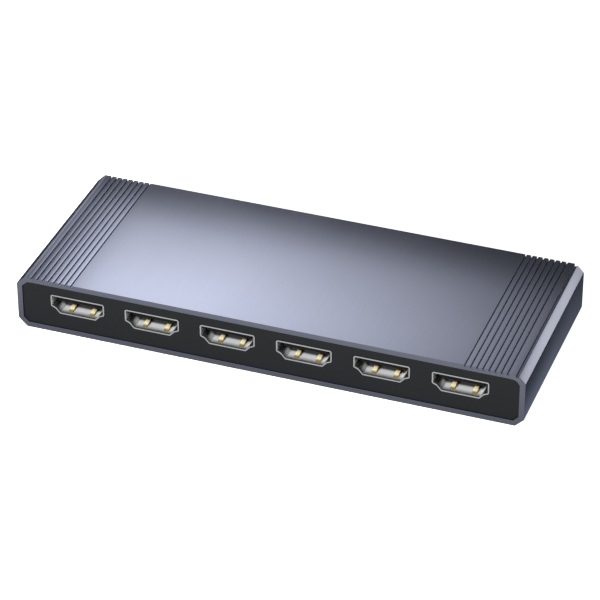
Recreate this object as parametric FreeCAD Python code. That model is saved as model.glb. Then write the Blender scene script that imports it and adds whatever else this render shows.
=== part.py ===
import FreeCAD, Part
import math
import os

from FreeCAD import Vector

# A six-socket HDMI switch: an extruded aluminium sleeve, open along both long sides,
# closed by a port panel (-Y) and a control panel (+Y), with one circuit board inside.
# Millimetres. X runs along the sleeve, +Z is up, and z = 0 is the underside of the feet.

# How far an edge may stray from a plane and still count as lying in it
PLANE_TOLERANCE = 1e-6

# Sleeve
SLEEVE_LENGTH = 135.2
SLEEVE_DEPTH = 53.4
SLEEVE_HEIGHT = 15.1
SLEEVE_WALL = 1.4
CORNER_CHAMFER = 2.4
CORNER_BLEND = 0.9
INNER_CORNER_RADIUS = 2.3
MOUTH_BEVEL = 0.2

# Grip grooves in the top face
GROOVE_COUNT = 8
GROOVE_END_MARGIN = 4.45
GROOVE_PITCH = 1.56
GROOVE_WIDTH = 0.72
GROOVE_FLOOR_WIDTH = 0.3
GROOVE_DEPTH = 0.55

# Feet and housing screws
FOOT_HEIGHT = 1.0
FOOT_RADIUS = 4.0
FOOT_EDGE_RADIUS = 0.35
FOOT_INSET_X = 9.0
FOOT_INSET_Y = 7.2
SCREW_RADIUS = 0.95
SCREW_LENGTH = 3.3
SCREW_HEAD_RADIUS = 1.85
SCREW_HEAD_HEIGHT = 1.0
SCREW_CLEARANCE = 0.05
SCREW_SLOT_WIDTH = 0.45
SCREW_SLOT_LENGTH = 2.0
SCREW_SLOT_DEPTH = 0.6

# Panels
PANEL_THICKNESS = 1.6
PANEL_RECESS = 0.3
PANEL_CLEARANCE = 0.1
PANEL_EDGE_RADIUS = 0.4
PANEL_HOLE_CLEARANCE = 0.1
FLANGE_GAP = 0.05
LUG_WIDTH = 7.6
LUG_BEYOND_SCREW = 3.4
LUG_FLOOR_CLEARANCE = 0.05
LUG_BOARD_CLEARANCE = 0.45

# Circuit board and its guide rails in the sleeve
BOARD_HEIGHT = 4.18
BOARD_THICKNESS = 1.6
BOARD_END_CLEARANCE = 0.3
BOARD_PANEL_CLEARANCE = 0.3
BOARD_CORNER_RADIUS = 1.0
RAIL_REACH = 1.6
RAIL_THICKNESS = 1.0
RAIL_CLEARANCE = 0.1
NOTCH_MARGIN = 0.3
NOTCH_SWITCH_MARGIN = 0.15

# HDMI sockets, type A receptacles with the wide side up
SOCKET_COUNT = 6
SOCKET_END_MARGIN = 16.6
SOCKET_PROUD = 0.1
SHELL_SHEET = 0.4
SHELL_LENGTH = 10.8
SHELL_HEIGHT = 5.35
SHELL_HALF_WIDTH = 7.4
SHELL_FLAT_HALF_WIDTH = 4.95
SHELL_STEP_HALF_WIDTH = 6.15
SHELL_STEP_HEIGHT = 1.35
SHELL_SHOULDER_HEIGHT = 1.9
SHELL_TOP_RADIUS = 0.6
SHELL_BOTTOM_RADIUS = 0.5
SHELL_STEP_RADIUS = 0.3
SHELL_SHOULDER_RADIUS = 0.6
SHELL_LEG_WIDTH = 1.4
SHELL_LEG_DEPTHS = (3.4, 8.4)
LEG_BELOW_BOARD = 0.3
LEG_SLOT_CLEARANCE = 0.15
SMALLEST_RADIUS = 0.1

# Spring fingers cut and raised from the floor of each shell
FINGER_SPACING = 5.7
FINGER_OFFSET = 0.45
FINGER_WIDTH = 1.7
FINGER_SHEET = 0.25
FINGER_START = 0.35
FINGER_CREST = 3.4
FINGER_END = 6.2
FINGER_RISE = 1.35
FINGER_WINDOW_MARGIN = 0.2
FINGER_ROOT = 0.55

# Tongue, insulator and contacts of an HDMI socket
TONGUE_HALF_WIDTH = 5.9
TONGUE_ABOVE_FLOOR = 2.6
TONGUE_THICKNESS = 1.0
TONGUE_SETBACK = 1.4
TONGUE_NOSE_RADIUS = 0.3
INSULATOR_START = 6.6
INSULATOR_CLEARANCE = 0.03
LOWER_CONTACT_COUNT = 10
UPPER_CONTACT_COUNT = 9
CONTACT_PITCH = 1.0
CONTACT_WIDTH = 0.3
CONTACT_SHEET = 0.12
CONTACT_SETBACK = 0.7
CONTACT_CLEARANCE = 0.01
CONTACT_TAIL_GAP = 0.2
CONTACT_FOOT_LENGTH = 0.6

# USB-C power socket in the control panel
POWER_END_MARGIN = 16.6
POWER_WIDTH = 8.94
POWER_HEIGHT = 3.26
POWER_SHEET = 0.3
POWER_CORNER_RADIUS = 1.5
POWER_LENGTH = 7.3
POWER_LEG_DEPTHS = (2.6, 5.6)
POWER_LEG_WIDTH = 0.9
POWER_TONGUE_HALF_WIDTH = 3.35
POWER_TONGUE_THICKNESS = 0.7
POWER_TONGUE_SETBACK = 0.9
POWER_INSULATOR_START = 5.2
POWER_CONTACT_OFFSETS = (-2.6, -0.6, 1.6)
POWER_CONTACT_WIDTH = 0.5
POWER_CONTACT_SHEET = 0.08

# Select button and the push switch behind it
BUTTON_END_MARGIN = 17.6
BUTTON_RADIUS = 3.0
BUTTON_PROUD = 0.8
BUTTON_CLEARANCE = 0.15
BUTTON_EDGE_RADIUS = 0.4
BUTTON_DISH_DEPTH = 0.2
BUTTON_FLANGE_RADIUS = 3.8
BUTTON_FLANGE_THICKNESS = 0.8
BUTTON_STEM_RADIUS = 1.1
BUTTON_STEM_LENGTH = 0.6
BUTTON_TRAVEL = 0.5
SWITCH_WIDTH = 6.0
SWITCH_DEPTH = 3.0
SWITCH_COVER_SHEET = 0.25
SWITCH_COVER_ARM = 1.9
SWITCH_WALL = 0.6
SWITCH_BACK = 0.5
PLUNGER_HALF_WIDTH = 0.9
PLUNGER_HALF_HEIGHT = 0.65
PLUNGER_SPARE_LENGTH = 0.4
PLUNGER_HEAD_MARGIN = 0.35
PLUNGER_HEAD_THICKNESS = 0.6
PLUNGER_CLEARANCE = 0.06
PLUNGER_NOSE_RADIUS = 0.35
DOME_RADIUS = 0.95
DOME_SPARE_RISE = 0.1
DOME_SHEET = 0.08

# Status lights: one for each input, and one for power
LIGHT_COUNT = 6
LIGHT_FIRST_X = 34.0
LIGHT_PITCH = 8.0
LIGHT_PIPE_RADIUS = 0.9
LIGHT_PIPE_PROUD = 0.1
LIGHT_PIPE_FLANGE_RADIUS = 1.45
LIGHT_PIPE_FLANGE_THICKNESS = 0.5
LIGHT_PIPE_CLEARANCE = 0.08
LIGHT_PIPE_LENGTH = 2.75
LED_WIDTH = 3.0
LED_DEPTH = 1.4
LED_HEIGHT = 2.6
LED_GAP = 0.15
LED_WINDOW_HALF_WIDTH = 0.9
LED_WINDOW_HALF_HEIGHT = 0.6
LED_WINDOW_DEPTH = 0.2

# Infrared window and receiver
INFRARED_FROM_POWER = 25.0
INFRARED_WIDTH = 9.0
INFRARED_HEIGHT = 4.4
INFRARED_CORNER_RADIUS = 0.8
INFRARED_RECESS = 0.1
INFRARED_CLEARANCE = 0.08
INFRARED_FLANGE_MARGIN = 0.8
INFRARED_FLANGE_THICKNESS = 0.6
INFRARED_BOARD_CLEARANCE = 0.1
RECEIVER_WIDTH = 5.8
RECEIVER_DEPTH = 2.2
RECEIVER_HEIGHT = 4.2
RECEIVER_LENS_RADIUS = 2.2
RECEIVER_LENS_BULGE = 0.6
RECEIVER_GAP = 0.25

# Electronics on top of the board
CHIP_STANDOFF = 0.1
LEAD_THICKNESS = 0.15
LEAD_REACH = 1.0
SWITCH_CHIP_SIZE = 14.0
SWITCH_CHIP_HEIGHT = 1.4
SWITCH_CHIP_Y = 6.5
SWITCH_CHIP_LEAD_COUNT = 16
SWITCH_CHIP_LEAD_PITCH = 0.8
SWITCH_CHIP_LEAD_WIDTH = 0.35
CONTROLLER_X = 26.0
CONTROLLER_Y = 8.0
CONTROLLER_LENGTH = 6.5
CONTROLLER_WIDTH = 4.4
CONTROLLER_HEIGHT = 1.0
CONTROLLER_LEAD_COUNT = 10
CONTROLLER_LEAD_PITCH = 0.65
CONTROLLER_LEAD_WIDTH = 0.25
MEMORY_LENGTH = 4.9
MEMORY_WIDTH = 3.9
MEMORY_HEIGHT = 1.4
MEMORY_LEAD_COUNT = 4
MEMORY_LEAD_PITCH = 1.27
MEMORY_LEAD_WIDTH = 0.4
REGULATOR_FROM_POWER = 11.0
REGULATOR_Y = 8.0
REGULATOR_LENGTH = 6.5
REGULATOR_WIDTH = 3.5
REGULATOR_HEIGHT = 1.6
REGULATOR_LEAD_COUNT = 3
REGULATOR_LEAD_PITCH = 2.3
REGULATOR_LEAD_WIDTH = 0.7
INDUCTOR_FROM_POWER = 1.0
INDUCTOR_Y = 8.0
INDUCTOR_SIZE = 5.0
INDUCTOR_HEIGHT = 2.8
INDUCTOR_CORNER = 0.8
CAPACITORS_FROM_POWER = (20.0, 27.5)
CAPACITOR_Y = 8.0
CAPACITOR_RADIUS = 2.5
CAPACITOR_HEIGHT = 5.4
CAPACITOR_BASE_SIZE = 5.4
CAPACITOR_BASE_HEIGHT = 0.9
CRYSTAL_CHIP_GAP = 4.9
CRYSTAL_Y = 6.5
CRYSTAL_LENGTH = 3.2
CRYSTAL_WIDTH = 2.5
CRYSTAL_HEIGHT = 0.8
ESD_COUNT = 3
ESD_SPACING = 4.0
ESD_LENGTH = 2.5
ESD_WIDTH = 1.0
ESD_HEIGHT = 0.6
SMALL_CHIP_COUNT = 8
CHIP_SPACING = 1.5
CHIP_PART_LENGTH = 1.0
CHIP_PART_WIDTH = 0.5
CHIP_CAPACITOR_HEIGHT = 0.5
CHIP_RESISTOR_HEIGHT = 0.35
ROW_GAP = 0.8

# Places that follow from the sizes above
SLEEVE_BOTTOM = FOOT_HEIGHT
SLEEVE_TOP = SLEEVE_BOTTOM + SLEEVE_HEIGHT
FLOOR_TOP = SLEEVE_BOTTOM + SLEEVE_WALL
HALF_LENGTH = SLEEVE_LENGTH / 2
HALF_DEPTH = SLEEVE_DEPTH / 2
INNER_HALF_LENGTH = HALF_LENGTH - SLEEVE_WALL
BOARD_BOTTOM = SLEEVE_BOTTOM + BOARD_HEIGHT
BOARD_TOP = BOARD_BOTTOM + BOARD_THICKNESS
PANEL_FACE = HALF_DEPTH - PANEL_RECESS
PANEL_INNER = PANEL_FACE - PANEL_THICKNESS
BOARD_HALF_LENGTH = INNER_HALF_LENGTH - BOARD_END_CLEARANCE
BOARD_HALF_DEPTH = PANEL_INNER - BOARD_PANEL_CLEARANCE
SCREW_X = HALF_LENGTH - FOOT_INSET_X
SCREW_Y = HALF_DEPTH - FOOT_INSET_Y
SOCKET_FRONT = -PANEL_FACE - SOCKET_PROUD
SHELL_BACK = SOCKET_FRONT + SHELL_LENGTH
CONTACT_TAIL = SHELL_BACK + CONTACT_TAIL_GAP
CONTACT_END = CONTACT_TAIL + CONTACT_SHEET + CONTACT_FOOT_LENGTH
CONTROL_AXIS = BOARD_TOP + POWER_HEIGHT / 2
TONGUE_BOTTOM = BOARD_TOP + SHELL_SHEET + TONGUE_ABOVE_FLOOR
TONGUE_TOP = TONGUE_BOTTOM + TONGUE_THICKNESS
BUTTON_FACE = PANEL_FACE + BUTTON_PROUD
FLANGE_FRONT = PANEL_INNER - FLANGE_GAP
BUTTON_FLANGE_BACK = FLANGE_FRONT - BUTTON_FLANGE_THICKNESS
PLUNGER_TIP = BUTTON_FLANGE_BACK - BUTTON_STEM_LENGTH
SWITCH_FRONT = PLUNGER_TIP - BUTTON_TRAVEL - PLUNGER_SPARE_LENGTH
DOME_RISE = BUTTON_TRAVEL + DOME_SPARE_RISE
NOTCH_FLOOR = SWITCH_FRONT + NOTCH_SWITCH_MARGIN
POWER_X = POWER_END_MARGIN - HALF_LENGTH
BUTTON_X = HALF_LENGTH - BUTTON_END_MARGIN
INFRARED_X = POWER_X + INFRARED_FROM_POWER
REGULATOR_X = POWER_X + REGULATOR_FROM_POWER
INDUCTOR_X = POWER_X + INDUCTOR_FROM_POWER
CAPACITOR_XS = [POWER_X + spacing for spacing in CAPACITORS_FROM_POWER]
CRYSTAL_X = SWITCH_CHIP_SIZE / 2 + LEAD_REACH + CRYSTAL_CHIP_GAP + CRYSTAL_LENGTH / 2
SOCKET_PITCH = 2 * (HALF_LENGTH - SOCKET_END_MARGIN) / (SOCKET_COUNT - 1)
SOCKET_XS = [SOCKET_PITCH * (index - (SOCKET_COUNT - 1) / 2) for index in range(SOCKET_COUNT)]
LIGHT_XS = [LIGHT_FIRST_X - LIGHT_PITCH * index for index in range(LIGHT_COUNT)]


def block(x_span, y_span, z_span):
    """A box between two values on each axis, given in either order."""
    low = Vector(min(x_span), min(y_span), min(z_span))
    high = Vector(max(x_span), max(y_span), max(z_span))
    size = high - low
    return Part.makeBox(size.x, size.y, size.z, low)


def about(middle, half):
    """The span that reaches the same distance to each side of a middle value."""
    return (middle - half, middle + half)


def rod(radius, x, z, y_span):
    """A round bar along Y."""
    length = max(y_span) - min(y_span)
    return Part.makeCylinder(radius, length, Vector(x, min(y_span), z), Vector(0, 1, 0))


def inset(points, distance):
    """Move each side of an anticlockwise outline inwards and meet the sides again at sharp corners."""
    moved = []
    for index, here in enumerate(points):
        before = points[index - 1]
        after = points[(index + 1) % len(points)]
        arriving = Vector(here[0] - before[0], here[1] - before[1], 0).normalize()
        leaving = Vector(after[0] - here[0], after[1] - here[1], 0).normalize()
        first_normal = Vector(-arriving.y, arriving.x, 0)
        second_normal = Vector(-leaving.y, leaving.x, 0)
        reach = distance / (1.0 + first_normal.dot(second_normal))
        shift = (first_normal + second_normal) * reach
        moved.append((here[0] + shift.x, here[1] + shift.y))
    return moved


def rounded_wire(points, radii, y):
    """A closed wire in the XZ plane at y, with one corner radius for each point."""
    corners = []
    for index, here in enumerate(points):
        corner = Vector(here[0], y, here[1])
        before = points[index - 1]
        after = points[(index + 1) % len(points)]
        to_before = (Vector(before[0], y, before[1]) - corner).normalize()
        to_after = (Vector(after[0], y, after[1]) - corner).normalize()
        half_angle = to_before.getAngle(to_after) / 2
        reach = radii[index] / math.tan(half_angle)
        bisector = (to_before + to_after).normalize()
        middle = corner + bisector * (radii[index] / math.sin(half_angle) - radii[index])
        corners.append((corner + to_before * reach, middle, corner + to_after * reach))
    edges = []
    for index, (start, middle, end) in enumerate(corners):
        edges.append(Part.Arc(start, middle, end).toShape())
        next_start = corners[(index + 1) % len(corners)][0]
        edges.append(Part.makeLine(end, next_start))
    return Part.Wire(edges)


def prism(points, radii, y_span):
    """The rounded outline, drawn out along Y between two values."""
    face = Part.Face(rounded_wire(points, radii, min(y_span)))
    return face.extrude(Vector(0, max(y_span) - min(y_span), 0))


def rounded_bar(x_span, y_span, z_span, radius):
    """A bar along Y with a rounded rectangle for its section."""
    points = [
        (min(x_span), min(z_span)),
        (max(x_span), min(z_span)),
        (max(x_span), max(z_span)),
        (min(x_span), max(z_span)),
    ]
    return prism(points, [radius] * len(points), y_span)


def both_near(low, high, value):
    """Whether the two ends of a span lie at one value."""
    return abs(low - value) < PLANE_TOLERANCE and abs(high - value) < PLANE_TOLERANCE


def edges_at_y(shape, y):
    """The edges of a shape that lie wholly in the plane at y."""
    return [edge for edge in shape.Edges if both_near(edge.BoundBox.YMin, edge.BoundBox.YMax, y)]


def edges_at_z(shape, z):
    """The edges of a shape that lie wholly in the plane at z."""
    return [edge for edge in shape.Edges if both_near(edge.BoundBox.ZMin, edge.BoundBox.ZMax, z)]


def upright_edges(shape):
    """The straight edges of a shape that run along Z."""
    found = []
    for edge in shape.Edges:
        box = edge.BoundBox
        if max(box.XLength, box.YLength) < PLANE_TOLERANCE:
            found.append(edge)
    return found


# Sleeve

def sleeve_outline():
    """The outer section of the extrusion, a rectangle with its four corners cut off."""
    x, bottom, top, leg = HALF_LENGTH, SLEEVE_BOTTOM, SLEEVE_TOP, CORNER_CHAMFER
    return [
        (-x + leg, bottom),
        (x - leg, bottom),
        (x, bottom + leg),
        (x, top - leg),
        (x - leg, top),
        (-x + leg, top),
        (-x, top - leg),
        (-x, bottom + leg),
    ]


def sleeve_bore(clearance, y_span):
    """The space inside the sleeve, or what fits in it with a clearance."""
    return rounded_bar(
        about(0, INNER_HALF_LENGTH - clearance),
        y_span,
        (FLOOR_TOP + clearance, SLEEVE_TOP - SLEEVE_WALL - clearance),
        INNER_CORNER_RADIUS - clearance,
    )


def groove(x):
    """One grip groove, a narrow trapezium cut along the whole top face."""
    top = SLEEVE_TOP
    points = [
        (x - GROOVE_WIDTH / 2, top),
        (x - GROOVE_FLOOR_WIDTH / 2, top - GROOVE_DEPTH),
        (x + GROOVE_FLOOR_WIDTH / 2, top - GROOVE_DEPTH),
        (x + GROOVE_WIDTH / 2, top),
    ]
    corners = [Vector(px, -HALF_DEPTH, pz) for px, pz in points]
    face = Part.Face(Part.makePolygon(corners + corners[:1]))
    return face.extrude(Vector(0, SLEEVE_DEPTH, 0))


def groove_places():
    """The middle of each groove, counted inwards from both ends of the sleeve."""
    outermost = HALF_LENGTH - GROOVE_END_MARGIN
    one_side = [outermost - GROOVE_PITCH * index for index in range(GROOVE_COUNT)]
    return one_side + [-x for x in one_side]


def guide_rails():
    """Two rails on each end wall, which hold the board's ends between them."""
    rails = []
    lower = (BOARD_BOTTOM - RAIL_THICKNESS, BOARD_BOTTOM)
    upper = (BOARD_TOP + RAIL_CLEARANCE, BOARD_TOP + RAIL_CLEARANCE + RAIL_THICKNESS)
    for side in (-1, 1):
        x_span = (side * (INNER_HALF_LENGTH - RAIL_REACH), side * (HALF_LENGTH - SLEEVE_WALL / 2))
        rails.append(block(x_span, about(0, PANEL_INNER), lower))
        rails.append(block(x_span, about(0, PANEL_INNER), upper))
    return rails


def screw_places():
    """The four housing screws, each under one foot."""
    return [(side * SCREW_X, end * SCREW_Y) for end in (-1, 1) for side in (-1, 1)]


def screw_form(x, y, clearance):
    """A countersunk screw, head down, or the hole for it with a clearance."""
    head = Part.makeCone(
        SCREW_HEAD_RADIUS + clearance,
        SCREW_RADIUS + clearance,
        SCREW_HEAD_HEIGHT,
        Vector(x, y, SLEEVE_BOTTOM),
    )
    shank = Part.makeCylinder(SCREW_RADIUS + clearance, SCREW_LENGTH, Vector(x, y, SLEEVE_BOTTOM))
    return head.fuse(shank)


def make_sleeve():
    outline = sleeve_outline()
    body = prism(outline, [CORNER_BLEND] * len(outline), about(0, HALF_DEPTH))
    mouth_edges = edges_at_y(body, -HALF_DEPTH) + edges_at_y(body, HALF_DEPTH)
    body = body.makeChamfer(MOUTH_BEVEL, mouth_edges)
    body = body.cut(sleeve_bore(0.0, about(0, HALF_DEPTH)))
    body = body.fuse(guide_rails())
    cutters = [groove(x) for x in groove_places()]
    cutters += [screw_form(x, y, SCREW_CLEARANCE) for x, y in screw_places()]
    return body.cut(cutters)


# Panels

def panel_blank(side):
    """A panel with its two screw lugs; side is -1 at the ports and 1 at the controls."""
    plate = sleeve_bore(PANEL_CLEARANCE, (side * PANEL_INNER, side * PANEL_FACE))
    plate = plate.makeFillet(PANEL_EDGE_RADIUS, edges_at_y(plate, side * PANEL_FACE))
    lugs = []
    for end in (-1, 1):
        lug = block(
            about(end * SCREW_X, LUG_WIDTH / 2),
            (side * PANEL_INNER, side * (SCREW_Y - LUG_BEYOND_SCREW)),
            (FLOOR_TOP + LUG_FLOOR_CLEARANCE, BOARD_BOTTOM - LUG_BOARD_CLEARANCE),
        )
        lugs.append(lug)
    holes = [screw_form(end * SCREW_X, side * SCREW_Y, SCREW_CLEARANCE) for end in (-1, 1)]
    return plate.fuse(lugs).cut(holes)


def make_port_panel():
    openings = []
    for x in SOCKET_XS:
        points = inset(shell_outline(x), -PANEL_HOLE_CLEARANCE)
        radii = grown_radii(PANEL_HOLE_CLEARANCE)
        openings.append(prism(points, radii, (-PANEL_FACE, -PANEL_INNER)))
    return panel_blank(-1).cut(openings)


def make_control_panel():
    y_span = (PANEL_INNER, PANEL_FACE)
    openings = [power_bar(PANEL_HOLE_CLEARANCE, y_span)]
    openings.append(rod(BUTTON_RADIUS + BUTTON_CLEARANCE, BUTTON_X, CONTROL_AXIS, y_span))
    for x in LIGHT_XS:
        openings.append(rod(LIGHT_PIPE_RADIUS + LIGHT_PIPE_CLEARANCE, x, CONTROL_AXIS, y_span))
    openings.append(infrared_bar(INFRARED_CLEARANCE, y_span))
    return panel_blank(1).cut(openings)


# HDMI sockets

def shell_outline(x):
    """The outer section of an HDMI shell at x, anticlockwise, standing on the board."""
    half_outline = [
        (SHELL_FLAT_HALF_WIDTH, 0.0),
        (SHELL_STEP_HALF_WIDTH, SHELL_STEP_HEIGHT),
        (SHELL_HALF_WIDTH, SHELL_SHOULDER_HEIGHT),
        (SHELL_HALF_WIDTH, SHELL_HEIGHT),
    ]
    right = [(x + px, BOARD_TOP + pz) for px, pz in half_outline]
    left = [(x - px, BOARD_TOP + pz) for px, pz in reversed(half_outline)]
    return right + left


def grown_radii(growth):
    """The corner radii of the shell's section, when its sides move outwards by a growth."""
    half_radii = [
        max(SHELL_BOTTOM_RADIUS + growth, SMALLEST_RADIUS),
        max(SHELL_STEP_RADIUS - growth, SMALLEST_RADIUS),
        max(SHELL_SHOULDER_RADIUS + growth, SMALLEST_RADIUS),
        max(SHELL_TOP_RADIUS + growth, SMALLEST_RADIUS),
    ]
    return half_radii + half_radii[::-1]


def shell_bore(x, inwards, y_span):
    """The space within a shell's sheet, or what fits in it with a clearance."""
    distance = SHELL_SHEET + inwards
    return prism(inset(shell_outline(x), distance), grown_radii(-distance), y_span)


def finger_places(x):
    """The middles of the two spring fingers of the socket at x."""
    return [x + FINGER_OFFSET + side * FINGER_SPACING / 2 for side in (-1, 1)]


def spring_finger(x):
    """One finger, a strip that arches up from the front edge of its window."""
    floor = BOARD_TOP + SHELL_SHEET
    start = Vector(x - FINGER_WIDTH / 2, SOCKET_FRONT + FINGER_START, floor)
    crest = Vector(x - FINGER_WIDTH / 2, SOCKET_FRONT + FINGER_CREST, floor + FINGER_RISE)
    end = Vector(x - FINGER_WIDTH / 2, SOCKET_FRONT + FINGER_END, floor)
    down = Vector(0, 0, -FINGER_SHEET)
    upper = Part.Arc(start, crest, end).toShape()
    lower = Part.Arc(start + down, crest + down, end + down).toShape()
    far_end = Part.makeLine(end, end + down)
    near_end = Part.makeLine(start + down, start)
    wire = Part.Wire([upper, far_end, lower, near_end])
    return Part.Face(wire).extrude(Vector(FINGER_WIDTH, 0, 0))


def leg_blocks(x, half_width, sheet, front, inwards, depths, width, top, clearance):
    """The four legs of a shell, or the slots for them with a clearance."""
    legs = []
    for side in (-1, 1):
        for depth in depths:
            legs.append(block(
                (x + side * (half_width - sheet - clearance), x + side * (half_width + clearance)),
                about(front + inwards * depth, width / 2 + clearance),
                (BOARD_BOTTOM - LEG_BELOW_BOARD, top),
            ))
    return legs


def socket_legs(x, clearance):
    top = BOARD_TOP + SHELL_SHOULDER_HEIGHT + SHELL_SHOULDER_RADIUS
    return leg_blocks(x, SHELL_HALF_WIDTH, SHELL_SHEET, SOCKET_FRONT, 1,
                      SHELL_LEG_DEPTHS, SHELL_LEG_WIDTH, top, clearance)


def make_hdmi_shell(x):
    y_span = (SOCKET_FRONT, SHELL_BACK)
    shell = prism(shell_outline(x), grown_radii(0.0), y_span).cut(shell_bore(x, 0.0, y_span))
    windows = []
    for finger_x in finger_places(x):
        windows.append(block(
            about(finger_x, FINGER_WIDTH / 2 + FINGER_WINDOW_MARGIN),
            (SOCKET_FRONT + FINGER_START + FINGER_ROOT,
             SOCKET_FRONT + FINGER_END + FINGER_WINDOW_MARGIN),
            (BOARD_TOP, BOARD_TOP + SHELL_SHEET),
        ))
    shell = shell.cut(windows)
    shell = shell.fuse([spring_finger(finger_x) for finger_x in finger_places(x)])
    return shell.fuse(socket_legs(x, 0.0)).removeSplitter()


def contact_places():
    """Each contact of a socket: its offset from the middle, and whether it is on the upper side."""
    places = []
    for count, is_upper in ((LOWER_CONTACT_COUNT, False), (UPPER_CONTACT_COUNT, True)):
        for index in range(count):
            places.append((CONTACT_PITCH * (index - (count - 1) / 2), is_upper))
    return places


def contact_strip(x, is_upper, y_span, clearance):
    """The straight stretch of one contact, flat on the tongue's upper or lower side."""
    if is_upper:
        z_span = (TONGUE_TOP, TONGUE_TOP + CONTACT_SHEET + clearance)
    else:
        z_span = (TONGUE_BOTTOM - CONTACT_SHEET - clearance, TONGUE_BOTTOM)
    return block(about(x, CONTACT_WIDTH / 2 + clearance), y_span, z_span)


def make_hdmi_tongue(x):
    """The black insulator: a block that fills the back of the shell, and the tongue before it."""
    plug = shell_bore(x, INSULATOR_CLEARANCE, (SOCKET_FRONT + INSULATOR_START, SHELL_BACK))
    tongue = block(
        about(x, TONGUE_HALF_WIDTH),
        (SOCKET_FRONT + TONGUE_SETBACK, SOCKET_FRONT + INSULATOR_START),
        (TONGUE_BOTTOM, TONGUE_TOP),
    )
    nose = edges_at_y(tongue, SOCKET_FRONT + TONGUE_SETBACK)
    tongue = tongue.makeFillet(TONGUE_NOSE_RADIUS, nose)
    slots = []
    for offset, is_upper in contact_places():
        y_span = (SOCKET_FRONT + INSULATOR_START, SHELL_BACK)
        slots.append(contact_strip(x + offset, is_upper, y_span, CONTACT_CLEARANCE))
    return plug.fuse(tongue).removeSplitter().cut(slots)


def make_contact(x, is_upper):
    """One gold contact: a strip on the tongue, a tail behind the shell and a foot on the board."""
    strip_start = SOCKET_FRONT + TONGUE_SETBACK + CONTACT_SETBACK
    strip = contact_strip(x, is_upper, (strip_start, CONTACT_TAIL + CONTACT_SHEET), 0.0)
    x_span = about(x, CONTACT_WIDTH / 2)
    tail = block(x_span, (CONTACT_TAIL, CONTACT_TAIL + CONTACT_SHEET), (BOARD_TOP, strip.BoundBox.ZMax))
    foot = block(x_span, (CONTACT_TAIL, CONTACT_END), (BOARD_TOP, BOARD_TOP + CONTACT_SHEET))
    return strip.fuse([tail, foot]).removeSplitter()


def make_hdmi_contacts(x):
    return [make_contact(x + offset, is_upper) for offset, is_upper in contact_places()]


# USB-C power socket

def power_bar(growth, y_span):
    """The power socket's outer section with its sides moved outwards by a growth."""
    return rounded_bar(
        about(POWER_X, POWER_WIDTH / 2 + growth),
        y_span,
        about(CONTROL_AXIS, POWER_HEIGHT / 2 + growth),
        POWER_CORNER_RADIUS + growth,
    )


def power_legs(clearance):
    return leg_blocks(POWER_X, POWER_WIDTH / 2, POWER_SHEET, PANEL_FACE, -1,
                      POWER_LEG_DEPTHS, POWER_LEG_WIDTH, CONTROL_AXIS, clearance)


def make_power_shell():
    y_span = (PANEL_FACE - POWER_LENGTH, PANEL_FACE)
    shell = power_bar(0.0, y_span).cut(power_bar(-POWER_SHEET, y_span))
    return shell.fuse(power_legs(0.0)).removeSplitter()


def power_contact_strip(offset, side, y_span, clearance):
    """The straight stretch of one power contact, above or below the tongue."""
    surface = CONTROL_AXIS + side * POWER_TONGUE_THICKNESS / 2
    return block(
        about(POWER_X + offset, POWER_CONTACT_WIDTH / 2 + clearance),
        y_span,
        (surface, surface + side * (POWER_CONTACT_SHEET + clearance)),
    )


def power_contact_places():
    """The offset of each power contact, and the side of the tongue that it is on."""
    lower = [(offset, -1) for offset in POWER_CONTACT_OFFSETS]
    upper = [(-offset, 1) for offset in POWER_CONTACT_OFFSETS]
    return lower + upper


def make_power_tongue():
    plug = power_bar(
        -POWER_SHEET - INSULATOR_CLEARANCE,
        (PANEL_FACE - POWER_INSULATOR_START, PANEL_FACE - POWER_LENGTH),
    )
    tongue = block(
        about(POWER_X, POWER_TONGUE_HALF_WIDTH),
        (PANEL_FACE - POWER_TONGUE_SETBACK, PANEL_FACE - POWER_INSULATOR_START),
        about(CONTROL_AXIS, POWER_TONGUE_THICKNESS / 2),
    )
    slots = []
    for offset, side in power_contact_places():
        y_span = (PANEL_FACE - POWER_INSULATOR_START, PANEL_FACE - POWER_LENGTH)
        slots.append(power_contact_strip(offset, side, y_span, CONTACT_CLEARANCE))
    return plug.fuse(tongue).removeSplitter().cut(slots)


def make_power_contacts():
    contacts = []
    front = PANEL_FACE - POWER_TONGUE_SETBACK - CONTACT_SETBACK
    tail = PANEL_FACE - POWER_LENGTH - CONTACT_TAIL_GAP
    for offset, side in power_contact_places():
        strip = power_contact_strip(offset, side, (front, tail - POWER_CONTACT_SHEET), 0.0)
        x_span = about(POWER_X + offset, POWER_CONTACT_WIDTH / 2)
        leg = block(x_span, (tail - POWER_CONTACT_SHEET, tail), (BOARD_TOP, strip.BoundBox.ZMax))
        foot_span = (tail - CONTACT_FOOT_LENGTH, tail)
        foot = block(x_span, foot_span, (BOARD_TOP, BOARD_TOP + POWER_CONTACT_SHEET))
        contacts.append(strip.fuse([leg, foot]).removeSplitter())
    return contacts


# Select button and its push switch

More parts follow.
